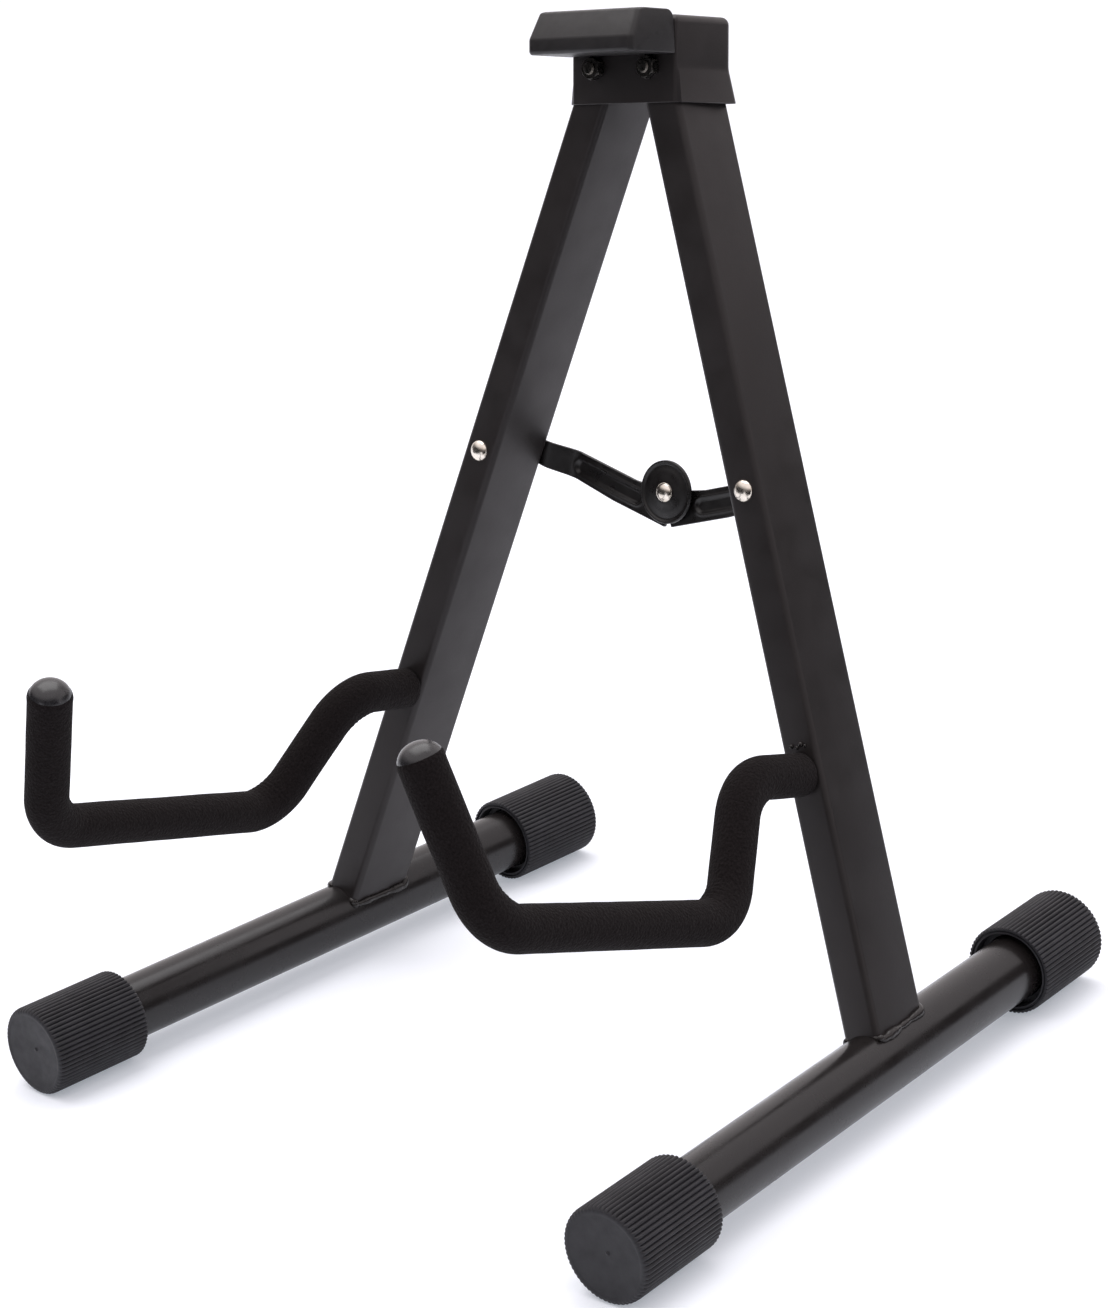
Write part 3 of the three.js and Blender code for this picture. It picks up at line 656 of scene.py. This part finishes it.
def weld_drop(side):
    """A drop of weld metal at the leg's front right corner."""
    name = SIDE_NAMES[side]
    leg = leg_frame(side)
    x, y = LEG_WIDTH / 2, -LEG_DEPTH / 2
    z = landing_z(x - 0.6 * side, y, leg, side, FLOOR_TUBE_RADIUS)
    polar = (0.05, 0.4, 0.8, 1.2, 1.6, 2, 2.4, 2.8, 3.1)
    drop = turned([(WELD_DROP_RADIUS * math.sin(a), WELD_DROP_RADIUS * math.cos(a)) for a in polar], 20)
    drop.transform(Matrix.Translation((x, y + 1.4, z + 0.6)))
    add_piece(f"{name}_weld_drop", drop, leg, f"{name}_leg", "powder_coat", "weld", smooth=60)


def spatter(side):
    """Small beads of weld spatter on the leg, above the cradle rod's weld."""
    name = SIDE_NAMES[side]
    body = f"{name}_leg"
    rod_z = leg_height(side, CRADLE_HEIGHT)
    beads = [(-1.8, 10.9, 0.95), (0.7, 10.0, 0.8), (2.6, 11.0, 1.1), (4.4, 10.2, 0.7)]  # across, up, radius
    for number, (x, up, size) in enumerate(beads, 1):
        mesh = turned([(size * math.sin(a), -size * math.cos(a)) for a in (0.05, 0.5, 0.9, 1.3, 1.57)], 12)
        mesh.transform(Matrix.Translation((x - side * CRADLE_INSET, -LEG_DEPTH / 2, rod_z + up)))
        add_piece(f"{name}_spatter_{number}", mesh, leg_frame(side), body, "powder_coat", "weld", smooth=60)


def dome_profile(radius, height, start, direction):
    """A rivet head's profile, from near its crown to its edge."""
    steps = [math.radians(a) for a in (1, 12, 25, 40, 55, 68, 79, 88)]
    return [(radius * math.sin(a), start + direction * height * math.cos(a)) for a in steps]


def brace_rivet(side):
    """The domed rivet through the leg and the brace arm behind it."""
    name = SIDE_NAMES[side]
    front = -LEG_DEPTH / 2 - GAP / 2
    rear = ARM_LEG_END_FRONT + ARM_THICKNESS + GAP / 2
    edge = RIVET_HEAD_RADIUS
    profile = dome_profile(edge, RIVET_HEAD_HEIGHT, front, -1)
    shank = RIVET_SHANK_RADIUS
    profile += [(edge, front + 0.1), (shank, front + 0.1), (shank, rear - 0.1), (edge, rear - 0.1)]
    profile += dome_profile(edge, RIVET_HEAD_HEIGHT, rear, 1)[::-1]
    matrix = leg_frame(side) @ Matrix.Translation((0, 0, rivet_height(side)))
    add_piece(
        f"{name}_rivet", turned(profile, 40), matrix, f"{name}_leg", "nickel", "nickel",
        [f"{name}_brace_rivet"], smooth=40)


# ------------------------------------------------ floor tubes and end caps


def floor_tube(side):
    name = SIDE_NAMES[side]
    outer = FLOOR_TUBE_RADIUS
    inner = outer - FLOOR_TUBE_WALL
    trim = 0.3
    front = CAP_END_THICKNESS + GAP - FRONT_REACH
    rear = REAR_REACH - CAP_END_THICKNESS - GAP
    profile = [
        (inner, front), (outer - trim, front), (outer, front + trim),
        (outer, rear - trim), (outer - trim, rear), (inner, rear),
    ]
    add_piece(
        f"{name}_tube", turned(profile, 72, "joined"), floor_tube_frame(side), f"{name}_leg",
        "powder_coat", "gloss", [f"{name}_floor_tube"])


def cap_profile():
    """(groove radius, crest radius, depth) from the middle of the cap's end to the bottom of its bore."""
    rim = CAP_RADIUS - CAP_RIM
    face = rim - 1.2
    valley = CAP_RADIUS - CAP_RIB_DEPTH
    mouth = CAP_MOUTH_RADIUS
    bore = FLOOR_TUBE_RADIUS + 0.4
    length = CAP_LENGTH
    end = [(max(face * part, 0.05), CAP_DISH - 0.75 * part ** 2) for part in (0, 0.2, 0.4, 0.6, 0.8)]
    end += [(face, 0.55), (rim - 0.6, 0.5), (rim - 0.1, 0.3)]
    rounding = []
    for out, back, groove in ((0.38, 0.08, 0.1), (0.68, 0.27, 0.45), (0.87, 0.5, 0.8), (0.97, 0.75, 0.95)):
        crest = rim + CAP_RIM * out
        rounding.append((crest - CAP_RIB_DEPTH * groove, crest, 0.25 + CAP_RIM * back))
    ribs = [(valley, CAP_RADIUS, CAP_RIM + 0.9), (valley, CAP_RADIUS, length - 0.6)]
    ribs += [(valley - 0.15, CAP_RADIUS - 0.3, length - 0.1)]
    inside = [(valley - 0.3, length), (valley - 0.6, length - 0.9), (mouth + 1, length - 0.9)]
    inside += [(mouth + 0.8, length - 0.25), (mouth + 0.3, length - 0.1), (mouth, length - 0.5)]
    inside += [(mouth, length - CAP_MOUTH_DEPTH), (bore, length - CAP_MOUTH_DEPTH)]
    inside += [(bore, CAP_END_THICKNESS), (0.05, CAP_END_THICKNESS)]
    end = [(radius, radius, depth) for radius, depth in end]
    inside = [(radius, radius, depth) for radius, depth in inside]
    return end + rounding + ribs + inside


def cap_ring(groove, crest, y):
    """A ring of the cap, whose ribs are round ridges parted by narrow grooves."""
    points = []
    for a in circle_angles(CAP_RIBS * POINTS_PER_RIB):
        radius = groove + (crest - groove) * abs(math.cos(a * CAP_RIBS / 2)) ** 0.85
        points.append((radius * math.sin(a), y, radius * math.cos(a)))
    return points


def end_cap(side, which, reach, direction):
    """A ribbed rubber cap with a dished end and a recessed mouth, and the moulding nub on its end."""
    name = SIDE_NAMES[side]
    place = floor_tube_frame(side)
    body = f"{name}_leg"
    rings = [cap_ring(groove, crest, direction * (reach - depth)) for groove, crest, depth in cap_profile()]
    node = f"{name}_{which}_end_cap"
    add_piece(f"{name}_{which}_cap", loft(rings), place, body, "cap_rubber", "cap", [node], smooth=50)
    nub_profile = [(0.1, 0.5), (0.5, 0.45), (0.75, 0.2), (0.8, -0.1)]
    nub = turned([(radius, direction * y) for radius, y in nub_profile], 14)
    nub.transform(Matrix.Translation((0.9, direction * (reach - CAP_DISH), 1.1)))
    add_piece(f"{name}_{which}_cap_nub", nub, place, body, "cap_rubber", "cap", smooth=60)


# ------------------------------------------------ cradles


# A place on the cradle rod, in the leg's frame. The normal lies in the hook's plane.
RodPoint = namedtuple("RodPoint", "point tangent normal bend distance")


def cradle_line(side):
    """The places along the middle of the rod, from the leg to the end of the hook."""
    start_z = leg_height(side, CRADLE_HEIGHT)
    sideways = math.tan(CRADLE_TURN)
    flat = rounded_line(CRADLE_CORNERS, CRADLE_BENDS, FOAM_STEP)
    line = []
    distance = 0
    before = None
    for (ahead, up), (d_ahead, d_up), bend in flat:
        point = Vector((ahead * sideways - side * CRADLE_INSET, -LEG_DEPTH / 2 - ahead, start_z + up))
        tangent = Vector((d_ahead * sideways, -d_ahead, d_up)).normalized()
        hook_side = Vector((1, sideways, 0)).normalized()
        normal = hook_side.cross(tangent)
        distance += (point - before).length if before else 0
        before = point
        line.append(RodPoint(point, tangent, normal, bend, distance))
    return line


def foam_radius(angle, bend, distance, seed):
    """The sleeve's radius at an angle from the hook's plane: filled out and wrinkled inside the bends."""
    inward = -math.cos(angle) * math.copysign(1, bend) if bend else 0
    inside = max(inward, 0) ** 1.5 * abs(bend)
    wrinkle = math.sin(distance * 2 * math.pi / FOAM_WRINKLE_SPACING + seed) * FOAM_WRINKLE * inside
    sag = 0.1 * noise.noise(Vector((distance * 0.09, math.cos(angle), math.sin(angle) + seed)))
    return FOAM_RADIUS - 0.12 + sag + FOAM_FILL * inside + wrinkle


def cradle_foam(side):
    """The foam sleeve, cut square against the leg and rounded over the foot of the tip."""
    name = SIDE_NAMES[side]
    line = cradle_line(side)
    last = line[-1].distance - TIP_HEIGHT
    kept = [place for place in line if 0.4 <= place.distance <= last - 0.6]
    flat_start = -LEG_DEPTH / 2 - 0.35

    def foam_ring(place, shrink=0, shift=0):
        """The sleeve round a place, made thinner by shrink and moved along the rod by shift."""
        across = place.tangent.cross(place.normal)
        centre = place.point + place.tangent * shift
        ring = []
        for a in circle_angles(48):
            radius = foam_radius(a, place.bend, place.distance, 2.0 * side) - shrink
            ring.append(centre + (place.normal * math.cos(a) + across * math.sin(a)) * radius)
        return ring

    first = [Vector((p.x, flat_start, p.z)) for p in foam_ring(kept[0], 0.7)]
    rings = [first] + [foam_ring(place) for place in kept[1:]]
    for ring in rings[1:5]:  # the rod leaves the leg at an angle, but the sleeve stays in front of it
        for p in ring:
            p.y = min(p.y, flat_start - 0.2)
    climb = last - kept[-1].distance
    for part in (0.25, 0.5, 0.75, 0.92, 1):
        angle = math.asin(part * FOAM_OVER_TIP / TIP_HEIGHT)
        thinning = FOAM_RADIUS * (1 - math.cos(angle))
        rings.append(foam_ring(kept[-1], thinning - 0.15, climb + FOAM_OVER_TIP * part))
    rings.append(foam_ring(kept[-1], thinning + 0.6, climb + FOAM_OVER_TIP - 0.1))
    sleeve = add_piece(
        f"{name}_foam_sleeve", loft(rings), leg_frame(side), f"{name}_leg", "foam", "foam",
        [f"{name}_cradle_foam"], smooth=75)


def cradle_tip(side):
    """The domed rubber tip; the sleeve's rounded end hides its foot."""
    name = SIDE_NAMES[side]
    end = cradle_line(side)[-1]
    across = end.tangent.cross(end.normal)
    turn = Matrix((end.normal, end.tangent, across)).transposed().to_4x4()
    place = leg_frame(side) @ Matrix.Translation(end.point - end.tangent * TIP_HEIGHT) @ turn
    base = FOAM_RADIUS - 0.35
    profile = [(base - 2, -0.1), (base - 0.5, -0.1), (base - 0.12, 0.05), (base, 0.4), (base, 0.9)]
    for degrees in (10, 22, 34, 46, 57, 67, 76, 84, 89):
        a = math.radians(degrees)
        profile.append((base * math.cos(a) ** 0.92, 0.9 + (TIP_HEIGHT - 0.9) * math.sin(a) ** 1.05))
    add_piece(
        f"{name}_tip", turned(profile, 48), place, f"{name}_leg", "tip_rubber", "tip",
        [f"{name}_cradle_tip"], smooth=60)


# ------------------------------------------------ head


def head_z(height):
    """The head frame's Z at a height above the housing's lower edge."""
    return height - PIVOT_ABOVE_EDGE


def housing_ring(height, inset, flare):
    """An outline of the housing, drawn in by inset, with its sides behind the front plate moved out."""
    corners = [max(radius - inset, 0.5) for radius in HOUSING_CORNERS]
    front = -HOUSING_DEPTH / 2
    points = []
    for x, y in rounded_rectangle(HOUSING_WIDTH - 2 * inset, HOUSING_DEPTH - 2 * inset, corners, 5):
        behind_front = smoothstep(y, front + 0.6, front + 3.2)
        points.append((x + math.copysign(flare * behind_front, x), y, head_z(height)))
    return points


def housing():
    """The folded sheet housing: rounded top, straight walls, and sides that flare out below a soft fold."""
    wall, flare, fold, soft = HOUSING_WALL, HOUSING_FLARE, HOUSING_FOLD, HOUSING_FOLD_SOFTNESS
    rows = []  # height, inset and flare
    for degrees in (90, 72, 54, 36, 18, 0):
        a = math.radians(degrees)
        height = HOUSING_TOP - HOUSING_TOP_ROUND * (1 - math.sin(a))
        rows.append((height, HOUSING_TOP_ROUND * (1 - math.cos(a)), 0))
    rows += [(fold + soft, 0, 0), (fold, 0, 0.08), (fold - soft, 0, flare * soft / fold)]
    rows += [(0.25, 0, flare), (0, 0.25, flare), (0, wall - 0.2, flare), (0.2, wall, flare)]
    rows += [(fold, wall, 0), (HOUSING_TOP - wall, wall, 0)]
    rings = [housing_ring(*row) for row in rows]
    add_piece(
        "housing", loft(rings), head_frame(), "head", "powder_coat", "satin", ["head_housing"],
        smooth=32)


def pad():
    """The pad: an upright front strip, a sloping face above it, and softly rounded edges."""
    rear = -HOUSING_DEPTH / 2 - GAP
    front = -PAD_FRONT
    profile = [
        (rear, PAD_BOTTOM), (front + 1, PAD_BOTTOM), (front, PAD_BOTTOM + 1), (front, PAD_STRIP_TOP),
        (front + PAD_SLOPE_RUN, PAD_TOP - 0.6), (front + PAD_SLOPE_RUN + 2.5, PAD_TOP),
    ]
    profile += arc((rear - PAD_REAR_ROUND, PAD_TOP - PAD_REAR_ROUND), PAD_REAR_ROUND, 90, 0, 6)

    def ring(side, facet):
        """The profile at the near edge of a side's corner facet, or at the side itself where facet is 0."""
        points = []
        for y, height in profile:
            half = HOUSING_WIDTH / 2 - PAD_TAPER * smoothstep(height, PAD_STRIP_TOP - 1, PAD_TOP)
            nearness = smoothstep((rear - y) / (rear - front), 0.25, 0.7)
            setback = (PAD_FACET - facet) * 0.9 * nearness
            points.append((side * (half - facet), y + setback, head_z(height)))
        return points

    rings = [ring(-1, 0), ring(-1, PAD_FACET), ring(1, PAD_FACET), ring(1, 0)]
    add_piece(
        "pad", loft(rings), head_frame(), "head", "pad_plastic", "pad", ["head_pad"],
        bevel=PAD_EDGE, smooth=30)


def hexagon(start, end):
    """Rings of a hexagonal prism along Y, its corners trimmed by a cone at both ends."""
    half = HEX_ACROSS_FLATS / 2
    sector = math.pi / 3
    trim = [(0, 0.9), (0.02, 0.98), (0.35, 1.055), (0.75, 1.16)]  # depth, and the limit as a share of half
    direction = math.copysign(1, end - start)
    rows = [(start + direction * depth, share) for depth, share in trim]
    rows += [(end - direction * depth, share) for depth, share in reversed(trim)]
    rings = []
    for y, share in rows:
        ring = []
        for a in circle_angles(72):
            radius = min(half / math.cos((a % sector) - sector / 2), share * half)
            ring.append((radius * math.sin(a), y, radius * math.cos(a)))
        rings.append(ring)
    return rings


def threaded_end(start, end):
    """A thread's rings from start to end, chamfered at the far end."""
    profile = []
    direction = math.copysign(1, end - start)
    turns = int(abs(end - start) / THREAD_PITCH)
    for k in range(turns):
        profile.append((BOLT_RADIUS - 0.4, start + direction * k * THREAD_PITCH))
        profile.append((BOLT_RADIUS, start + direction * (k + 0.5) * THREAD_PITCH))
    profile += [(BOLT_RADIUS - 0.45, end - direction * 0.1), (BOLT_RADIUS - 0.8, end), (0.05, end)]
    return profile


def pivot_fasteners(side):
    """A hex-headed bolt through the head from behind, with its lock nut in front."""
    name = SIDE_NAMES[side]
    pivot = head_frame().inverted() @ joint_point(f"{name}_leg_fold")
    place = head_frame() @ Matrix.Translation((pivot.x, 0, pivot.z))
    wall = HOUSING_DEPTH / 2 + GAP
    nut_front = -wall - NUT_LENGTH
    steel = ("head", "black_steel", "black_steel")
    nut = loft(hexagon(-wall + GAP + 0.1, nut_front))
    add_piece(f"{name}_nut", nut, place, *steel, [f"{name}_pivot_nut"], smooth=25)
    thread = threaded_end(nut_front, nut_front - BOLT_END)
    shank = turned([(0.05, wall - 0.5), (BOLT_RADIUS, wall - 0.5)] + thread, 32)
    add_piece(f"{name}_bolt", shank, place, *steel, [f"{name}_pivot_bolt"], smooth=40)
    bolt_head = loft(hexagon(wall - 0.15, wall + BOLT_HEAD_LENGTH))
    add_piece(f"{name}_bolt_head", bolt_head, place, *steel, smooth=25)


# ------------------------------------------------ spreader brace


def arm_edges(x, drop_angle):
    """The arm's lower and upper edge at a distance from the hub."""
    if x > ARM_LENGTH:
        half = math.sqrt(max(ARM_LEG_END_RADIUS ** 2 - (x - ARM_LENGTH) ** 2, 0.01))
        return -half, half
    hub_edge = math.sqrt(max(ARM_HUB_RADIUS ** 2 - x ** 2, 0.01))

    def between(first, second):
        return first[1] + (second[1] - first[1]) * (x - first[0]) / (second[0] - first[0])

    leg_end = ARM_LEG_END_RADIUS
    ear = (-ARM_EAR_DEPTH * math.sin(drop_angle) + 0.3, -ARM_EAR_DEPTH * math.cos(drop_angle))
    if x < ear[0]:
        return -hub_edge, hub_edge
    lower = between(ear, ARM_WAIST) if x < ARM_WAIST[0] else between(ARM_WAIST, (ARM_LENGTH, -leg_end))
    upper = between(ARM_NECK, (ARM_LENGTH, leg_end))
    if x < ARM_NECK[0]:
        blend = smoothstep(x, ARM_HUB_RADIUS * 0.75, ARM_NECK[0])
        upper = max(hub_edge * (1 - blend) + ARM_NECK[1] * blend, ARM_NECK[1])
    ear_notch = smoothstep(x, ear[0], ear[0] + 0.8)
    return lower * ear_notch - hub_edge * (1 - ear_notch), upper


def rib_relief(x, z, drop_angle):
    """How far the pressed rib sinks the face at a point: a channel with a raised lip round it."""
    low, high = ARM_RIB
    along = min(max(x, low), high)
    lower, upper = arm_edges(along, drop_angle)
    middle = (lower + upper) / 2
    distance = math.hypot(x - along, z - middle)
    sunk = 1 - smoothstep(distance, ARM_RIB_RADIUS - 1.3, ARM_RIB_RADIUS)
    lip = math.exp(-((distance - ARM_RIB_RADIUS - 0.4) / 0.5) ** 2)
    return ARM_RIB_DEPTH * sunk - 0.25 * lip


def arm_stations():
    """Distances from the hub at which the arm has a ring, closer together where its edge curves."""
    quarter = math.pi / 2
    stations = [-ARM_HUB_RADIUS * math.cos(quarter * k / 12) for k in range(10)]
    stations += [-2.4, -2.1, -1.7, -1.3, -0.9, -0.5]
    stations += [ARM_STEP * k for k in range(int(ARM_LENGTH / ARM_STEP) + 1)]
    stations += [ARM_LENGTH + ARM_LEG_END_RADIUS * math.sin(quarter * k / 12) for k in range(1, 12)]
    return stations


def brace_arm(side, flat_front):
    """A stamped arm: flat at the hub, joggled back to the leg at its far end, with a pressed rib."""
    name = SIDE_NAMES[side]
    place = arm_frame(side)
    outward = place.to_3x3() @ Vector((1, 0, 0)) / MM
    drop_angle = abs(math.asin(max(-1, min(1, outward.dot(UPWARD)))))
    across_count = 34
    soft = 0.3  # the trim of the stamped edges
    thick = ARM_THICKNESS

    def front_at(x, z):
        joggle = smoothstep(x, ARM_LENGTH - ARM_JOGGLE_END, ARM_LENGTH - ARM_JOGGLE_START)
        return flat_front + (ARM_LEG_END_FRONT - flat_front) * joggle + rib_relief(x, z, drop_angle)

    rings = []
    for x in arm_stations():
        lower, upper = arm_edges(x, drop_angle)
        zs = [lower + (upper - lower) * k / across_count for k in range(across_count + 1)]
        zs[0] += soft
        zs[-1] -= soft
        front = [(x, front_at(x, z), z) for z in zs]
        rear = [(x, front_at(x, z) + thick, z) for z in reversed(zs)]
        top = [(x, front_at(x, upper) + soft, upper), (x, front_at(x, upper) + thick - soft, upper)]
        bottom = [(x, front_at(x, lower) + thick - soft, lower), (x, front_at(x, lower) + soft, lower)]
        rings.append(front + top + rear + bottom)
    add_piece(
        f"{name}_arm", loft(rings), place, f"{name}_arm", "brace_enamel", "enamel",
        [f"{name}_brace_arm"], smooth=45)


def pivot_disc():
    """The dished disc in front of the hub, with a thin raised rim."""
    rear, front = DISC_REAR, DISC_REAR - DISC_THICKNESS
    middle = front - DISC_DISH
    radius = DISC_RADIUS
    profile = [
        (3.0, rear - 0.45), (3.0, middle), (4.9, middle), (5.4, middle + 0.15),
        (radius * 0.6, front - DISC_DISH * 0.75), (radius - 3.4, front - 0.35), (radius - 2.2, front - 0.05),
        (radius - 1.5, front), (radius - 1.1, front - 0.35), (radius - 0.75, front - 0.55),
        (radius - 0.3, front - 0.5), (radius, front - 0.2), (radius, rear - 0.1), (radius - 0.2, rear),
        (radius * 0.5, rear - 0.2),
    ]
    add_piece(
        "hub_disc", turned(profile, 96, "joined"), arm_frame(LEFT), "left_arm", "brace_enamel", "enamel",
        ["brace_disc"], smooth=50)


def hub_rivets():
    """The hub's rivet: its front half rides with the disc, its rear half with the right arm."""
    front = DISC_REAR - DISC_THICKNESS - DISC_DISH - 0.1
    middle = LEFT_ARM_FRONT + ARM_THICKNESS
    shank = RIVET_SHANK_RADIUS
    head_radius = RIVET_HEAD_RADIUS * 0.95
    profile = dome_profile(head_radius, RIVET_HEAD_HEIGHT * 0.9, front, -1)
    profile += [(head_radius, front + 0.1), (shank, front + 0.1), (shank, middle), (0.05, middle)]
    add_piece(
        "hub_rivet", turned(profile, 40), arm_frame(LEFT), "left_arm", "nickel", "nickel",
        ["hub_rivet_front"], smooth=40)
    rear = RIGHT_ARM_FRONT + ARM_THICKNESS + 0.15
    tail_radius = RIVET_HEAD_RADIUS * 0.8
    profile = [(0.05, RIGHT_ARM_FRONT), (shank, RIGHT_ARM_FRONT), (shank, rear), (tail_radius, rear)]
    profile += dome_profile(tail_radius, RIVET_HEAD_HEIGHT * 0.7, rear, 1)[::-1]
    add_piece(
        "hub_rivet_tail", turned(profile, 40), arm_frame(RIGHT), "right_arm", "nickel", "nickel",
        ["hub_rivet_rear"], smooth=40)


# ------------------------------------------------ studio


def studio_floor():
    size = FLOOR_HALF_SIZE
    mesh = bpy.data.meshes.new("studio_floor")
    corners = [(-size, -size, 0), (size, -size, 0), (size, size, 0), (-size, size, 0)]
    mesh.from_pydata(corners, [], [(0, 1, 2, 3)])
    floor = bpy.data.objects.new("studio_floor", mesh)
    mesh.materials.append(FINISHES["studio"])
    bpy.context.scene.collection.objects.link(floor)


def top_light():
    """A large soft light above, aimed at the middle of the stand."""
    light = bpy.data.lights.new("top_light", "AREA")
    light.shape = "RECTANGLE"
    light.size, light.size_y = TOP_LIGHT_SIZE
    light.energy = TOP_LIGHT_WATTS
    lamp = bpy.data.objects.new("top_light", light)
    lamp.location = TOP_LIGHT_PLACE
    aim = Vector((0, 0, 0.2)) - lamp.location
    lamp.rotation_euler = aim.to_track_quat("-Z", "Y").to_euler()
    bpy.context.scene.collection.objects.link(lamp)


def dark_card(name, place, width, height):
    """A black card standing on the floor, facing the stand, seen only as a dark reflection in it."""
    mesh = bpy.data.meshes.new(name)
    foot = Vector((*place, 0))
    across = Vector((-foot.y, foot.x, 0)).normalized() * width / 2
    up = Vector((0, 0, height))
    corners = [foot - across, foot + across, foot + across + up, foot - across + up]
    mesh.from_pydata(corners, [], [(0, 1, 2, 3)])
    card = bpy.data.objects.new(name, mesh)
    mesh.materials.append(FINISHES["card"])
    card.visible_camera = False
    card.visible_diffuse = False
    card.visible_shadow = False
    bpy.context.scene.collection.objects.link(card)


def studio_sky():
    """A faintly warm white room, whose light is dim low in front and strong from behind and above."""
    world = bpy.data.worlds.new("studio")
    world.use_nodes = True
    nodes, links = world.node_tree.nodes, world.node_tree.links
    background = nodes["Background"]
    background.inputs["Color"].default_value = SKY_COLOUR
    place = nodes.new("ShaderNodeTexCoord").outputs["Generated"]
    split = nodes.new("ShaderNodeSeparateXYZ")
    links.new(place, split.inputs["Vector"])

    def fade(axis, start, end):
        """Brightness that rises as a direction's part along an axis goes from start to end."""
        remap = nodes.new("ShaderNodeMapRange")
        remap.interpolation_type = "SMOOTHSTEP"
        remap.inputs["From Min"].default_value = start
        remap.inputs["From Max"].default_value = end
        remap.inputs["To Min"].default_value = DARK_SIDE
        remap.inputs["To Max"].default_value = BRIGHT_SIDE
        links.new(split.outputs[axis], remap.inputs["Value"])
        return remap.outputs["Result"]

    brighter = nodes.new("ShaderNodeMath")
    brighter.operation = "MAXIMUM"
    links.new(fade("Y", -0.35, 0.35), brighter.inputs[0])
    links.new(fade("Z", 0.2, 0.6), brighter.inputs[1])
    seen = nodes.new("ShaderNodeLightPath").outputs["Is Camera Ray"]  # the backdrop itself is white all round
    backdrop = nodes.new("ShaderNodeMath")
    backdrop.operation = "ADD"
    links.new(brighter.outputs["Value"], backdrop.inputs[0])
    links.new(seen, backdrop.inputs[1])
    links.new(backdrop.outputs["Value"], background.inputs["Strength"])
    bpy.context.scene.world = world


def camera():
    """The camera at the photo's angle, turned by its azimuth, then its elevation, then its roll."""
    flat = math.cos(CAMERA_ELEVATION)
    back = Vector((
        math.sin(CAMERA_AZIMUTH) * flat, -math.cos(CAMERA_AZIMUTH) * flat, math.sin(CAMERA_ELEVATION)))
    level = (-back).cross(Vector((0, 0, 1))).normalized()
    upright = level.cross(-back)
    right = level * math.cos(CAMERA_ROLL) + upright * math.sin(CAMERA_ROLL)
    up = upright * math.cos(CAMERA_ROLL) - level * math.sin(CAMERA_ROLL)
    lens = bpy.data.cameras.new("camera")
    lens.sensor_width = 36
    lens.lens = CAMERA_LENS
    lens.shift_y = CAMERA_SHIFT
    lens.clip_end = 200
    eye = bpy.data.objects.new("camera", lens)
    pose = Matrix((right, up, back)).transposed().to_4x4()
    pose.translation = CAMERA_PLACE
    eye.matrix_world = pose
    bpy.context.scene.collection.objects.link(eye)
    bpy.context.scene.camera = eye


# ------------------------------------------------ everything

for side in (LEFT, RIGHT):
    leg_tube(side)
    foot_weld(side)
    weld_drop(side)
    brace_rivet(side)
    floor_tube(side)
    end_cap(side, "front", FRONT_REACH, -1)
    end_cap(side, "rear", REAR_REACH, 1)
    cradle_foam(side)
    cradle_tip(side)
    pivot_fasteners(side)
spatter(RIGHT)
housing()
pad()
brace_arm(LEFT, LEFT_ARM_FRONT)
brace_arm(RIGHT, RIGHT_ARM_FRONT)
pivot_disc()
hub_rivets()

# The CAD's cradle rods, pivot sleeves and pad screws stay as they are, and only get a finish.
for node in frame["nodes"].values():
    if not node.hide_render:
        inner = FINISHES["satin"] if "rod" in node.name else FINISHES["black_steel"]
        for slot in node.material_slots:
            slot.material = inner

studio_floor()
studio_sky()
dark_card("side_card", (0.9, 0.95), 1.6, 0.5)
dark_card("front_card", (-0.85, -0.95), 1.4, 0.6)
dark_card("camera_card", (0.36, -0.39), 0.8, 0.3)
camera()
top_light()
bpy.context.scene.view_settings.view_transform = "Standard"
